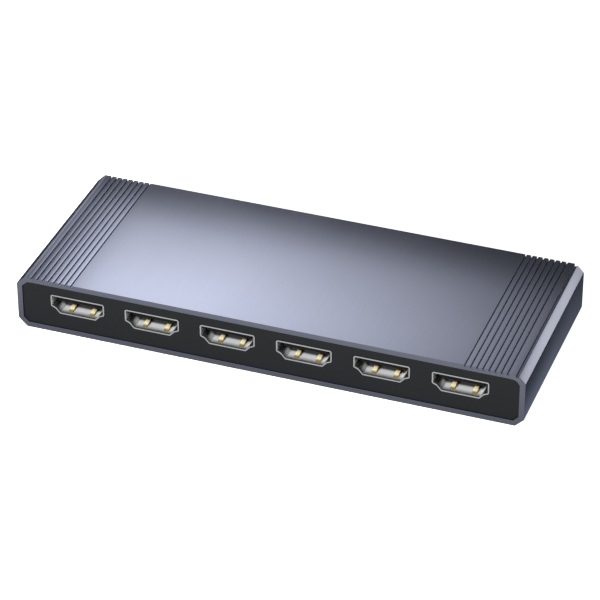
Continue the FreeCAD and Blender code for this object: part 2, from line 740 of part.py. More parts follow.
def make_select_button():
    cap = rod(BUTTON_RADIUS, BUTTON_X, CONTROL_AXIS, (FLANGE_FRONT, BUTTON_FACE))
    cap = cap.makeFillet(BUTTON_EDGE_RADIUS, edges_at_y(cap, BUTTON_FACE))
    flange = rod(BUTTON_FLANGE_RADIUS, BUTTON_X, CONTROL_AXIS, (BUTTON_FLANGE_BACK, FLANGE_FRONT))
    stem = rod(BUTTON_STEM_RADIUS, BUTTON_X, CONTROL_AXIS, (PLUNGER_TIP, BUTTON_FLANGE_BACK))
    rim_radius = BUTTON_RADIUS - BUTTON_EDGE_RADIUS
    dish_radius = (rim_radius ** 2 + BUTTON_DISH_DEPTH ** 2) / (2 * BUTTON_DISH_DEPTH)
    dish_centre = Vector(BUTTON_X, BUTTON_FACE + dish_radius - BUTTON_DISH_DEPTH, CONTROL_AXIS)
    dish = Part.makeSphere(dish_radius, dish_centre)
    return cap.fuse([flange, stem]).removeSplitter().cut(dish)


def switch_cavity(front):
    """The space in the switch body that holds the plunger's head and the dome."""
    margin = PLUNGER_HEAD_MARGIN + PLUNGER_CLEARANCE
    return block(
        about(BUTTON_X, PLUNGER_HALF_WIDTH + margin),
        (SWITCH_FRONT - SWITCH_DEPTH + SWITCH_BACK, front),
        about(CONTROL_AXIS, PLUNGER_HALF_HEIGHT + margin),
    )


def make_switch_body():
    cover_back = SWITCH_FRONT - SWITCH_COVER_SHEET
    body = block(
        about(BUTTON_X, SWITCH_WIDTH / 2),
        (SWITCH_FRONT - SWITCH_DEPTH, cover_back),
        (BOARD_TOP, CONTROL_AXIS + PLUNGER_HALF_HEIGHT + PLUNGER_HEAD_MARGIN + SWITCH_WALL),
    )
    return body.cut(switch_cavity(cover_back))


def make_switch_cover():
    """The steel cover: a plate in front of the body and one arm along each side of it."""
    z_span = (BOARD_TOP, CONTROL_AXIS + PLUNGER_HALF_HEIGHT + PLUNGER_HEAD_MARGIN + SWITCH_WALL)
    plate = block(
        about(BUTTON_X, SWITCH_WIDTH / 2 + SWITCH_COVER_SHEET),
        (SWITCH_FRONT - SWITCH_COVER_SHEET, SWITCH_FRONT),
        z_span,
    )
    hole = block(
        about(BUTTON_X, PLUNGER_HALF_WIDTH + PLUNGER_CLEARANCE),
        (SWITCH_FRONT - SWITCH_COVER_SHEET, SWITCH_FRONT),
        about(CONTROL_AXIS, PLUNGER_HALF_HEIGHT + PLUNGER_CLEARANCE),
    )
    arms = []
    for side in (-1, 1):
        inner = BUTTON_X + side * SWITCH_WIDTH / 2
        arms.append(block(
            (inner, inner + side * SWITCH_COVER_SHEET),
            (SWITCH_FRONT - SWITCH_COVER_ARM, SWITCH_FRONT),
            z_span,
        ))
    return plate.fuse(arms).removeSplitter().cut(hole)


def plunger_head_span():
    """Front and back of the plunger's head, which waits just behind the cover."""
    front = SWITCH_FRONT - SWITCH_COVER_SHEET - PLUNGER_CLEARANCE
    return (front, front - PLUNGER_HEAD_THICKNESS)


def dome_apex():
    return SWITCH_FRONT - SWITCH_DEPTH + SWITCH_BACK + DOME_RISE


def make_switch_plunger():
    head_front, head_back = plunger_head_span()
    shaft = block(
        about(BUTTON_X, PLUNGER_HALF_WIDTH),
        (head_front, PLUNGER_TIP),
        about(CONTROL_AXIS, PLUNGER_HALF_HEIGHT),
    )
    head = block(
        about(BUTTON_X, PLUNGER_HALF_WIDTH + PLUNGER_HEAD_MARGIN),
        (head_front, head_back),
        about(CONTROL_AXIS, PLUNGER_HALF_HEIGHT + PLUNGER_HEAD_MARGIN),
    )
    nose = rod(PLUNGER_NOSE_RADIUS, BUTTON_X, CONTROL_AXIS, (dome_apex(), head_back))
    return shaft.fuse([head, nose]).removeSplitter()


def make_switch_dome():
    """The snap dome, a thin cap of a sphere with its rim on the back of the cavity."""
    rim = dome_apex() - DOME_RISE
    radius = (DOME_RADIUS ** 2 + DOME_RISE ** 2) / (2 * DOME_RISE)
    centre = Vector(BUTTON_X, dome_apex() - radius, CONTROL_AXIS)
    cap = Part.makeSphere(radius, centre).cut(Part.makeSphere(radius - DOME_SHEET, centre))
    keep = block(about(BUTTON_X, radius), (rim, dome_apex()), about(CONTROL_AXIS, radius))
    return cap.common(keep)


# Status lights

def make_light_pipe(x):
    face = PANEL_FACE + LIGHT_PIPE_PROUD
    pipe = rod(LIGHT_PIPE_RADIUS, x, CONTROL_AXIS, (face - LIGHT_PIPE_LENGTH, face))
    flange_span = (FLANGE_FRONT - LIGHT_PIPE_FLANGE_THICKNESS, FLANGE_FRONT)
    flange = rod(LIGHT_PIPE_FLANGE_RADIUS, x, CONTROL_AXIS, flange_span)
    return pipe.fuse(flange).removeSplitter()


def make_status_leds():
    leds = []
    front = PANEL_FACE + LIGHT_PIPE_PROUD - LIGHT_PIPE_LENGTH - LED_GAP
    for x in LIGHT_XS:
        body = block(
            about(x, LED_WIDTH / 2),
            (front - LED_DEPTH, front),
            (BOARD_TOP, BOARD_TOP + LED_HEIGHT),
        )
        window = block(
            about(x, LED_WINDOW_HALF_WIDTH),
            (front - LED_WINDOW_DEPTH, front),
            about(CONTROL_AXIS, LED_WINDOW_HALF_HEIGHT),
        )
        leds.append(body.cut(window))
    return leds


# Infrared window and receiver

def infrared_bar(growth, y_span):
    """The infrared window's section with its sides moved outwards by a growth."""
    return rounded_bar(
        about(INFRARED_X, INFRARED_WIDTH / 2 + growth),
        y_span,
        about(CONTROL_AXIS, INFRARED_HEIGHT / 2 + growth),
        INFRARED_CORNER_RADIUS + growth,
    )


def infrared_flange_back():
    return FLANGE_FRONT - INFRARED_FLANGE_THICKNESS


def make_infrared_window():
    window = infrared_bar(0.0, (FLANGE_FRONT, PANEL_FACE - INFRARED_RECESS))
    flange = block(
        about(INFRARED_X, INFRARED_WIDTH / 2 + INFRARED_FLANGE_MARGIN),
        (infrared_flange_back(), FLANGE_FRONT),
        (BOARD_TOP + INFRARED_BOARD_CLEARANCE,
         CONTROL_AXIS + INFRARED_HEIGHT / 2 + INFRARED_FLANGE_MARGIN),
    )
    return window.fuse(flange).removeSplitter()


def make_infrared_receiver():
    lens_front = infrared_flange_back() - RECEIVER_GAP
    body_front = lens_front - RECEIVER_LENS_BULGE
    body = block(
        about(INFRARED_X, RECEIVER_WIDTH / 2),
        (body_front - RECEIVER_DEPTH, body_front),
        (BOARD_TOP, BOARD_TOP + RECEIVER_HEIGHT),
    )
    lens = Part.makeCylinder(
        RECEIVER_LENS_RADIUS,
        RECEIVER_HEIGHT,
        Vector(INFRARED_X, lens_front - RECEIVER_LENS_RADIUS, BOARD_TOP),
    )
    keep = block(
        about(INFRARED_X, RECEIVER_LENS_RADIUS),
        (body_front - RECEIVER_DEPTH, lens_front),
        (BOARD_TOP, BOARD_TOP + RECEIVER_HEIGHT),
    )
    return body.fuse(lens.common(keep)).removeSplitter()


# Board and electronics

def make_board():
    board = block(about(0, BOARD_HALF_LENGTH), about(0, BOARD_HALF_DEPTH), (BOARD_BOTTOM, BOARD_TOP))
    board = board.makeFillet(BOARD_CORNER_RADIUS, upright_edges(board))
    slots = power_legs(LEG_SLOT_CLEARANCE)
    for x in SOCKET_XS:
        slots += socket_legs(x, LEG_SLOT_CLEARANCE)
    notch = block(
        about(BUTTON_X, BUTTON_FLANGE_RADIUS + NOTCH_MARGIN),
        (NOTCH_FLOOR, BOARD_HALF_DEPTH),
        (BOARD_BOTTOM, BOARD_TOP),
    )
    return board.cut(slots + [notch])


def lead_row(x, y, length_axis, edge, count, pitch, width, top):
    """One row of bent leads along one side of a chip; edge is the signed distance to its body."""
    leads = []
    outwards = math.copysign(1.0, edge)
    for index in range(count):
        along = pitch * (index - (count - 1) / 2)
        across_foot = (edge, edge + outwards * LEAD_REACH)
        across_root = (edge - outwards * LEAD_THICKNESS, edge + outwards * LEAD_REACH / 2)
        foot_z = (BOARD_TOP, BOARD_TOP + LEAD_THICKNESS)
        root_z = (top - LEAD_THICKNESS, top)
        riser = (edge + outwards * (LEAD_REACH / 2 - LEAD_THICKNESS), edge + outwards * LEAD_REACH / 2)
        for across, z_span in ((across_foot, foot_z), (across_root, root_z), (riser, (BOARD_TOP, top))):
            if length_axis == "x":
                leads.append(block(about(x + along, width / 2), (y + across[0], y + across[1]), z_span))
            else:
                leads.append(block((x + across[0], x + across[1]), about(y + along, width / 2), z_span))
    return leads


def make_chip(x, y, length, width, height, lead_count, pitch, lead_width, four_sides):
    """A chip body just above the board, with bent leads on two sides or on all four."""
    bottom = BOARD_TOP + CHIP_STANDOFF
    body = block(about(x, length / 2), about(y, width / 2), (bottom, bottom + height))
    lead_top = bottom + height / 2
    leads = []
    for side in (-1, 1):
        leads += lead_row(x, y, "x", side * width / 2, lead_count, pitch, lead_width, lead_top)
        if four_sides:
            leads += lead_row(x, y, "y", side * length / 2, lead_count, pitch, lead_width, lead_top)
    return body.fuse(leads).removeSplitter()


def make_memories():
    """One small memory chip for each input socket, in the row behind the chip resistors."""
    y = row_middle(3, MEMORY_WIDTH / 2 + LEAD_REACH)
    return [
        make_chip(x, y, MEMORY_LENGTH, MEMORY_WIDTH, MEMORY_HEIGHT,
                  MEMORY_LEAD_COUNT, MEMORY_LEAD_PITCH, MEMORY_LEAD_WIDTH, False)
        for x in SOCKET_XS[:-1]
    ]


def row_middle(row, half_width):
    """The middle of a row of parts behind the sockets: 0 for the arrays, then two rows of chips."""
    start = CONTACT_END + ROW_GAP
    widths = [ESD_WIDTH, CHIP_PART_LENGTH, CHIP_PART_LENGTH]
    return start + sum(widths[:row]) + ROW_GAP * row + half_width


def spread(count, spacing, x):
    """Evenly spaced places, centred on x."""
    return [x + spacing * (index - (count - 1) / 2) for index in range(count)]


def make_board_row(row, count, spacing, length, width, height):
    """The same small part, repeated behind every socket."""
    y = row_middle(row, width / 2)
    parts = []
    for socket_x in SOCKET_XS:
        for x in spread(count, spacing, socket_x):
            parts.append(block(about(x, length / 2), about(y, width / 2), (BOARD_TOP, BOARD_TOP + height)))
    return parts


def make_power_inductor():
    body = block(
        about(INDUCTOR_X, INDUCTOR_SIZE / 2),
        about(INDUCTOR_Y, INDUCTOR_SIZE / 2),
        (BOARD_TOP, BOARD_TOP + INDUCTOR_HEIGHT),
    )
    return body.makeChamfer(INDUCTOR_CORNER, upright_edges(body))


def make_bulk_capacitors():
    capacitors = []
    for x in CAPACITOR_XS:
        base = block(
            about(x, CAPACITOR_BASE_SIZE / 2),
            about(CAPACITOR_Y, CAPACITOR_BASE_SIZE / 2),
            (BOARD_TOP, BOARD_TOP + CAPACITOR_BASE_HEIGHT),
        )
        can = Part.makeCylinder(CAPACITOR_RADIUS, CAPACITOR_HEIGHT, Vector(x, CAPACITOR_Y, BOARD_TOP))
        capacitors.append(base.fuse(can).removeSplitter())
    return capacitors


def make_crystal():
    return block(
        about(CRYSTAL_X, CRYSTAL_LENGTH / 2),
        about(CRYSTAL_Y, CRYSTAL_WIDTH / 2),
        (BOARD_TOP, BOARD_TOP + CRYSTAL_HEIGHT),
    )


# Screws and feet

def make_screws():
    screws = []
    for x, y in screw_places():
        slot_z = (SLEEVE_BOTTOM, SLEEVE_BOTTOM + SCREW_SLOT_DEPTH)
        long_half = SCREW_SLOT_LENGTH / 2
        short_half = SCREW_SLOT_WIDTH / 2
        cross = [
            block(about(x, long_half), about(y, short_half), slot_z),
            block(about(x, short_half), about(y, long_half), slot_z),
        ]
        screws.append(screw_form(x, y, 0.0).cut(cross))
    return screws


def make_foot(x, y):
    foot = Part.makeCylinder(FOOT_RADIUS, FOOT_HEIGHT, Vector(x, y, 0))
    return foot.makeFillet(FOOT_EDGE_RADIUS, edges_at_z(foot, 0.0))


def single_parts():
    """Every sub-part that is made once, by node name."""
    return {
        "housing_sleeve": make_sleeve(),
        "port_panel": make_port_panel(),
        "control_panel": make_control_panel(),
        "circuit_board": make_board(),
        "power_socket_shell": make_power_shell(),
        "power_socket_tongue": make_power_tongue(),
        "power_socket_contacts": make_power_contacts(),
        "select_button": make_select_button(),
        "push_switch_body": make_switch_body(),
        "push_switch_cover": make_switch_cover(),
        "push_switch_plunger": make_switch_plunger(),
        "push_switch_dome": make_switch_dome(),
        "status_leds": make_status_leds(),
        "infrared_window": make_infrared_window(),
        "infrared_receiver": make_infrared_receiver(),
        "switch_chip": make_chip(
            0.0, SWITCH_CHIP_Y, SWITCH_CHIP_SIZE, SWITCH_CHIP_SIZE, SWITCH_CHIP_HEIGHT,
            SWITCH_CHIP_LEAD_COUNT, SWITCH_CHIP_LEAD_PITCH, SWITCH_CHIP_LEAD_WIDTH, True),
        "control_chip": make_chip(
            CONTROLLER_X, CONTROLLER_Y, CONTROLLER_LENGTH, CONTROLLER_WIDTH, CONTROLLER_HEIGHT,
            CONTROLLER_LEAD_COUNT, CONTROLLER_LEAD_PITCH, CONTROLLER_LEAD_WIDTH, False),
        "voltage_regulator": make_chip(
            REGULATOR_X, REGULATOR_Y, REGULATOR_LENGTH, REGULATOR_WIDTH, REGULATOR_HEIGHT,
            REGULATOR_LEAD_COUNT, REGULATOR_LEAD_PITCH, REGULATOR_LEAD_WIDTH, False),
        "memory_chips": make_memories(),
        "power_inductor": make_power_inductor(),
        "bulk_capacitors": make_bulk_capacitors(),
        "crystal": make_crystal(),
        "surge_arrays": make_board_row(0, ESD_COUNT, ESD_SPACING,
                                       ESD_LENGTH, ESD_WIDTH, ESD_HEIGHT),
        "chip_capacitors": make_board_row(1, SMALL_CHIP_COUNT, CHIP_SPACING,
                                          CHIP_PART_WIDTH, CHIP_PART_LENGTH, CHIP_CAPACITOR_HEIGHT),
        "chip_resistors": make_board_row(2, SMALL_CHIP_COUNT, CHIP_SPACING,
                                         CHIP_PART_WIDTH, CHIP_PART_LENGTH, CHIP_RESISTOR_HEIGHT),
        "housing_screws": make_screws(),
    }


def repeated_parts():
    """Every sub-part that has a numbered node for each copy."""
    parts = {}
    for number, x in enumerate(SOCKET_XS, start=1):
        parts[f"hdmi_shell_{number}"] = make_hdmi_shell(x)
        parts[f"hdmi_tongue_{number}"] = make_hdmi_tongue(x)
        parts[f"hdmi_contacts_{number}"] = make_hdmi_contacts(x)
    for number, x in enumerate(LIGHT_XS, start=1):
        parts[f"light_pipe_{number}"] = make_light_pipe(x)
    for number, (x, y) in enumerate(screw_places(), start=1):
        parts[f"rubber_foot_{number}"] = make_foot(x, y)
    return parts


def main():
    os.makedirs("parts", exist_ok=True)
    parts = {**single_parts(), **repeated_parts()}
    for name, shape in parts.items():
        if isinstance(shape, list):
            shape = Part.makeCompound(shape)
        if not shape.isValid():
            raise ValueError(f"{name} is not a valid shape")
        shape.exportStep(f"parts/{name}.step")
        print(name, len(shape.Solids), "solids", round(shape.Volume, 2), "mm3")


main()
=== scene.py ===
import math

import bmesh
import bpy
import numpy as np
from bpy.props import FloatProperty, FloatVectorProperty, IntProperty, PointerProperty
from mathutils import Matrix, Vector


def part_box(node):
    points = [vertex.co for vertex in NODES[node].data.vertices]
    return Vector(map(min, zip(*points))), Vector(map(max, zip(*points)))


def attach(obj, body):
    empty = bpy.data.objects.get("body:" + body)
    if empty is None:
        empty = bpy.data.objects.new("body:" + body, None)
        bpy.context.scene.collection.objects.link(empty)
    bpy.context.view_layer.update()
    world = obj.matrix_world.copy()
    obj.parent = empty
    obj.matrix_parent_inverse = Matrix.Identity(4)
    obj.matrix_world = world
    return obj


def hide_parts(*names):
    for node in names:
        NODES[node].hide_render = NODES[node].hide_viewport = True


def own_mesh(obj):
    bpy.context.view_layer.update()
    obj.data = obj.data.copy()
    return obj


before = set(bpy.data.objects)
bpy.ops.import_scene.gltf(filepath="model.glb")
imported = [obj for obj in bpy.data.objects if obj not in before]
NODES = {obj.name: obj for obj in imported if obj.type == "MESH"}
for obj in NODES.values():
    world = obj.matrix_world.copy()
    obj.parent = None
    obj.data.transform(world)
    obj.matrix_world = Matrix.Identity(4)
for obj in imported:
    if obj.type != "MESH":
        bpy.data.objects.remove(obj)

bl_info = {
    "name": "HDMI Switch",
    "version": (1, 0, 0),
    "blender": (4, 5, 0),
    "location": "3D View > Sidebar > HDMI Switch",
    "description": "Dresses the HDMI switch: its grooved sleeve, panels, sockets, controls and board",
    "category": "Add Mesh",
}

HOUSING = "housing"
BUTTON = "select_button"
MM = 0.001


def numbers_of(stem):
    """The copy numbers of the CAD nodes that share a stem."""
    return sorted(name.rpartition("_")[2] for name in NODES if name.rpartition("_")[0] == stem)


def middle(node):
    """The x, y and z of the middle of a CAD node's box."""
    low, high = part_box(node)
    return (np.array(low) + np.array(high)) / 2


SLEEVE_LOW, SLEEVE_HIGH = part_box("housing_sleeve")
BOARD_LOW, BOARD_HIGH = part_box("circuit_board")
CONTROL_LOW, CONTROL_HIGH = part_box("control_panel")
BUTTON_LOW, BUTTON_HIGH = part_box("select_button")
CONTROL_AXIS = middle("select_button")[2]
SOCKETS = numbers_of("hdmi_shell")
LIGHTS = numbers_of("light_pipe")
FEET = numbers_of("rubber_foot")


def on_axis(node):
    """The x of a node's middle, and the height that the controls share."""
    return middle(node)[0], CONTROL_AXIS


# Settings that a user would change

def length(name, description, millimetres):
    return FloatProperty(name=name, description=description, default=millimetres * MM,
                         unit="LENGTH", precision=5)


def share(name, description, value):
    return FloatProperty(name=name, description=description, default=value, subtype="FACTOR")


def color(name, description, value):
    return FloatVectorProperty(name=name, description=description, default=value, size=3,
                               subtype="COLOR", min=0.0, max=1.0)


class SleeveSettings(bpy.types.PropertyGroup):
    wall: length("Wall", "Thickness of the extruded wall", 1.4)
    corner_chamfer: length("Corner chamfer", "Leg of the flat that cuts each long corner", 2.3)
    corner_blend: length("Corner blend", "Radius where a chamfer meets a face", 0.6)
    # Width of a painted highlight, a line of brighter colour along the left upper edge.
    edge_highlight: length("Painted edge highlight", "Width of the bright line where the top starts on the left", 0.7)
    chamfer_crown: length("Chamfer crown", "How far an upper chamfer bulges, along X and along Z", 0.065)
    crown_radius: length("Crown radius", "Radius of the bulge at the middle of an upper chamfer", 8.0)
    edge_groove_inner: length("Edge groove inner side", "From the top face's end to the near lip", 0.24)
    edge_groove_outer: length("Edge groove outer side", "From the top face's end to the far lip", 0.46)
    edge_groove_depth: length("Edge groove depth", "Depth of the groove beside the upper chamfer", 0.75)
    inner_radius: length("Inner corner radius", "Radius of the corners inside the sleeve", 2.3)
    mouth_round: length("Mouth rounding", "Radius of the edge around each open end", 0.16)
    groove_count: IntProperty(name="Grooves per end", description="Grip grooves near each end",
                              default=8)
    groove_margin: length("Groove margin", "From the sleeve's end to the first groove", 4.45)
    groove_offset: length("Groove offset", "How far all grooves stand to the left of even", 0.17)
    groove_pitch: length("Groove pitch", "Distance from one groove to the next", 1.56)
    groove_width: length("Groove width", "Width of a groove at the top face", 0.44)
    groove_floor: length("Groove floor", "Width of a groove at its bottom", 0.32)
    groove_depth: length("Groove depth", "Depth of a groove", 0.55)
    groove_lip: length("Groove lip", "Radius of a groove's upper edges", 0.03)
    groove_root: length("Groove root", "Radius of a groove's lower corners", 0.05)
    rail_reach: length("Rail reach", "How far a guide rail stands in from the end wall", 1.6)
    rail_thickness: length("Rail thickness", "Height of a guide rail", 1.0)
    rail_gap: length("Rail gap", "Play between the board and the rail above it", 0.1)
    rail_setback: length("Rail setback", "From a panel's inner face to the rail's end", 0.3)
    rail_round: length("Rail rounding", "Radius of a rail's edges", 0.15)
    color: color("Anodised colour", "Reflection colour of the anodised aluminium",
                 (0.27, 0.2915, 0.382))
    roughness: share("Satin roughness", "Roughness of the blasted and anodised surface", 0.31)


class PanelSettings(bpy.types.PropertyGroup):
    thickness: length("Thickness", "Thickness of a panel", 1.6)
    clearance: length("Clearance", "Gap between a panel and the sleeve", 0.04)
    edge_round: length("Edge rounding", "Radius of a panel's outer front edge", 0.18)
    hole_round: length("Hole rounding", "Radius of the front edge of each hole", 0.12)
    socket_gap: length("Socket gap", "Gap round each socket", 0.1)
    light_gap: length("Light gap", "Gap round each light and the window", 0.08)
    button_gap: length("Button gap", "Gap round the button", 0.15)
    power_corner: length("Power hole corner", "Corner radius of the power socket's hole", 1.6)
    lug_width: length("Lug width", "Width of the lug that a screw goes into", 7.6)
    lug_height: length("Lug height", "Height of a lug", 2.28)
    lug_reach: length("Lug reach", "How far a lug stands in from its panel", 8.7)
    lug_inset: length("Lug inset", "From the sleeve's end to the middle of a lug", 9.0)
    lug_round: length("Lug rounding", "Radius of a lug's edges", 0.3)


class SocketSettings(bpy.types.PropertyGroup):
    sheet: length("Shell sheet", "Thickness of the shell's metal", 0.4)
    flat_half_width: length("Floor half width", "Half width of the shell's flat floor", 4.95)
    step_half_width: length("Step half width", "Half width where the slope meets the step", 6.15)
    step_height: length("Step height", "Height where the slope meets the step", 1.35)
    shoulder_height: length("Shoulder height", "Height where the step meets the side", 1.9)
    floor_round: length("Floor rounding", "Radius where the floor meets the slope", 0.5)
    step_round: length("Step rounding", "Radius where the slope meets the step", 0.3)
    side_round: length("Side rounding", "Radius at both ends of the upright side", 0.6)
    lip_round: length("Lip rounding", "Radius of the shell's front edges", 0.13)
    leg_width: length("Leg width", "Width of a leg that goes through the board", 1.4)
    leg_front: length("Front leg", "From the shell's front to the middle of the front legs", 3.4)
    leg_back: length("Back leg", "From the shell's front to the middle of the back legs", 8.4)
    leg_top: length("Leg top", "Height above the board at which a leg leaves the side", 2.5)
    leg_round: length("Leg rounding", "Radius of a leg's edges", 0.08)
    finger_offset: length("Finger offset", "How far the fingers stand off the middle", 0.45)
    finger_spacing: length("Finger spacing", "From one spring finger to the other", 5.7)
    finger_width: length("Finger width", "Width of a spring finger", 1.3)
    finger_sheet: length("Finger sheet", "Thickness of a spring finger", 0.25)
    finger_start: length("Finger start", "Depth at which a finger leaves the floor", 0.95)
    finger_crest: length("Finger crest", "Depth of a finger's highest point", 3.3)
    finger_end: length("Finger end", "Depth at which a finger meets the floor again", 5.7)
    finger_rise: length("Finger rise", "Height of a finger's crest above the floor", 0.7)
    finger_round: length("Finger rounding", "Radius of a finger's edges", 0.1)
    finger_crown: length("Finger crown", "How far a finger's sides fall below its middle", 0.06)
    finger_taper: share("Finger taper", "Width of a finger's inner end as a share of its start", 0.82)


class ControlSettings(bpy.types.PropertyGroup):
    travel: length("Travel", "How far the button and the plunger go in", 0.5)
    flange_front: length("Flange front", "From the button's back to the front of all flanges", 1.4)
    button_radius: length("Button radius", "Radius of the button's cap", 3.0)
    pipe_radius: length("Light radius", "Radius of a light pipe", 0.9)
    window_width: length("Window half width", "Half width of the infrared window", 4.5)
    window_height: length("Window half height", "Half height of the infrared window", 2.2)
    window_corner: length("Window corner", "Corner radius of the infrared window", 0.8)
    dome_sheet: length("Dome sheet", "Thickness of the snap dome's metal", 0.08)


class StageSettings(bpy.types.PropertyGroup):
    azimuth: FloatProperty(name="Camera azimuth", description="Turn of the camera round the object",
                           default=math.radians(19.784), unit="ROTATION")
    elevation: FloatProperty(name="Camera elevation", description="Height of the camera's view",
                             default=math.radians(33.47), unit="ROTATION")
    roll: FloatProperty(name="Camera roll", description="Tilt of the camera about its own axis",
                        default=math.radians(-0.057), unit="ROTATION")
    distance: length("Camera distance", "From the camera to the point that it aims at", 791.6)
    aim: FloatVectorProperty(name="Camera aim", description="The point in the middle of the view",
                             default=(0.57 * MM, -2.35 * MM, 8.55 * MM), size=3,
                             subtype="TRANSLATION", precision=5)
    lens: FloatProperty(name="Lens", description="Focal length in millimetres on a 36 mm sensor",
                        default=185.39)
    floor_size: length("Floor size", "Side of the square floor", 6000.0)
    floor_color: color("Floor colour", "Colour of the pale floor", (0.92, 0.92, 0.93))
    floor_glow: share("Floor glow", "Light that the floor gives off by itself", 1.0)
    card_height: length("Card height", "Height of the glowing card above the top face", 30.0)
    card_light: FloatProperty(name="Card light", description="Radiance of the card at its brightest",
                              default=2.29)
    key_power: FloatProperty(name="Key light", description="Power of the light from the front",
                             default=21.0, unit="POWER")


def settings(group):
    """One group of settings of the current scene."""
    return getattr(bpy.context.scene, "hdmi_switch_" + group)


# Outlines in a plane

def unit(vectors):
    """The vectors, each divided by its length."""
    return vectors / np.linalg.norm(vectors, axis=-1, keepdims=True)


def inset_polygon(points, distance):
    """A polygon with each side moved inwards by a distance.

    Each corner moves along the sum of its two inward normals, by the distance divided by one plus their
    dot product, so that the sides meet again.
    """
    arriving = unit(points - np.roll(points, 1, 0))
    leaving = unit(np.roll(points, -1, 0) - points)
    first = np.stack([-arriving[:, 1], arriving[:, 0]], 1)
    second = np.stack([-leaving[:, 1], leaving[:, 0]], 1)
    reach = distance / (1 + (first * second).sum(1))
    return points + (first + second) * reach[:, None]


def rounded_outline(points, radii, steps):
    """A closed polygon with an arc of steps + 1 points in place of each corner.

    The arc's centre lies on the corner's bisector, at the radius divided by the sine of half the corner's
    angle, and its points turn evenly from one tangent point to the other.
    """
    before = unit(np.roll(points, 1, 0) - points)
    after = unit(np.roll(points, -1, 0) - points)
    half = np.arccos(np.clip((before * after).sum(1), -1, 1)) / 2
    reach = (radii / np.tan(half))[:, None]
    centre = points + unit(before + after) * (radii / np.sin(half))[:, None]
    start = points + before * reach - centre
    end = points + after * reach - centre
    first = np.arctan2(start[:, 1], start[:, 0])
    last = np.arctan2(end[:, 1], end[:, 0])
    turn = (last - first + np.pi) % (2 * np.pi) - np.pi
    angles = first[:, None] + turn[:, None] * np.linspace(0, 1, steps + 1)
    spokes = np.stack([np.cos(angles), np.sin(angles)], -1) * radii[:, None, None]
    return (centre[:, None, :] + spokes).reshape(-1, 2)


def inset_outline(points, radii, distance, steps, smallest):
    """A rounded outline drawn in by a distance: its outer corners shrink and its inner corners grow."""
    arriving = points - np.roll(points, 1, 0)
    leaving = np.roll(points, -1, 0) - points
    turning = np.sign(arriving[:, 0] * leaving[:, 1] - arriving[:, 1] * leaving[:, 0])
    return rounded_outline(inset_polygon(points, distance), np.maximum(radii - turning * distance, smallest),
                           steps)


def rounded_box(low, high, radius, steps=8):
    """The outline of a rectangle with rounded corners, anticlockwise from its lower left."""
    corners = np.array([(low[0], low[1]), (high[0], low[1]), (high[0], high[1]), (low[0], high[1])])
    return rounded_outline(corners, np.full(4, radius), steps)


def centred_box(centre, half, radius, steps=8):
    """A rounded rectangle about a centre."""
    centre, half = np.asarray(centre), np.asarray(half)
    return rounded_box(centre - half, centre + half, radius, steps)


def circle(centre, radius, sides):
    """A circle's polygon with an upright side at its left and at its right."""
    angles = (np.arange(sides) + 0.5) / sides * 2 * np.pi
    return np.asarray(centre) + radius * np.stack([np.cos(angles), np.sin(angles)], 1)


def nearest_on_rounded_box(outline, low, high, radius):
    """For each point of an outline, the nearest point of a rounded rectangle inside it.

    The point is clamped to the rectangle drawn in by the radius, and the result lies one radius from the
    clamped point, towards the outline.
    """
    core = np.clip(outline, low + radius, high - radius)
    return core + unit(outline - core) * radius


def distance_to(outline, points):
    """The distance from each point to the nearest side of a closed polygon."""
    least_square = 1e-18
    along = np.roll(outline, -1, 0) - outline
    from_start = points[:, None] - outline
    squares = np.maximum((along ** 2).sum(-1), least_square)
    place = np.clip((from_start * along).sum(-1) / squares, 0, 1)
    return np.linalg.norm(from_start - place[..., None] * along, axis=-1).min(-1)


def roll_over(radius, steps=4):
    """How far a rounded edge draws in, and how far it has come forward, over a quarter of a circle."""
    angles = np.linspace(0, np.pi / 2, steps + 1)
    return radius * (1 - np.sin(angles)), radius * (1 - np.cos(angles))


# Surfaces, each a pair of vertices and four-cornered faces

def at_y(outline, y):
    """An outline of x and z values as points at one y."""
    return np.stack([outline[:, 0], np.full(len(outline), y), outline[:, 1]], 1)


def grid_faces(rows, columns, wrap_rows, wrap_columns):
    """The faces of a grid of vertices numbered row by row, joined up at its ends if asked."""
    row = np.arange(rows if wrap_rows else rows - 1)[:, None]
    column = np.arange(columns if wrap_columns else columns - 1)[None, :]
    next_row = (row + 1) % rows
    next_column = (column + 1) % columns
    corners = [row * columns + column, next_row * columns + column,
               next_row * columns + next_column, row * columns + next_column]
    return np.stack(np.broadcast_arrays(*corners), -1).reshape(-1, 4)


def ring_surface(loops, wrap):
    """Closed loops joined one to the next, and the last to the first if asked."""
    grid = np.stack(loops)
    return grid.reshape(-1, 3), grid_faces(grid.shape[0], grid.shape[1], wrap, True)


def closed_tube(loops):
    """Closed loops joined one to the next, with a fan about the middle of the first and the last."""
    first = np.broadcast_to(loops[0].mean(0), loops[0].shape)
    last = np.broadcast_to(loops[-1].mean(0), loops[-1].shape)
    return ring_surface([first, *loops, last], False)


def joined(*surfaces):
    """Several surfaces as one."""
    offsets = np.cumsum([0] + [len(points) for points, _ in surfaces])
    points = np.concatenate([points for points, _ in surfaces])
    return points, np.concatenate([faces + offset for (_, faces), offset in zip(surfaces, offsets)])


def rounded_bar(low, high, radius, steps=3):
    """A bar along Y between two corners, rounded on its four long edges and round both ends."""
    draw_in, along = roll_over(radius, steps)
    section_low = np.array([low[0], low[2]])
    section_high = np.array([high[0], high[2]])
    outlines = [rounded_box(section_low + inwards, section_high - inwards, radius, steps)
                for inwards in draw_in]
    start = [at_y(outline, low[1] + ahead) for outline, ahead in zip(outlines, along)]
    end = [at_y(outline, high[1] - ahead) for outline, ahead in zip(outlines, along)]
    return closed_tube(start + end[::-1])


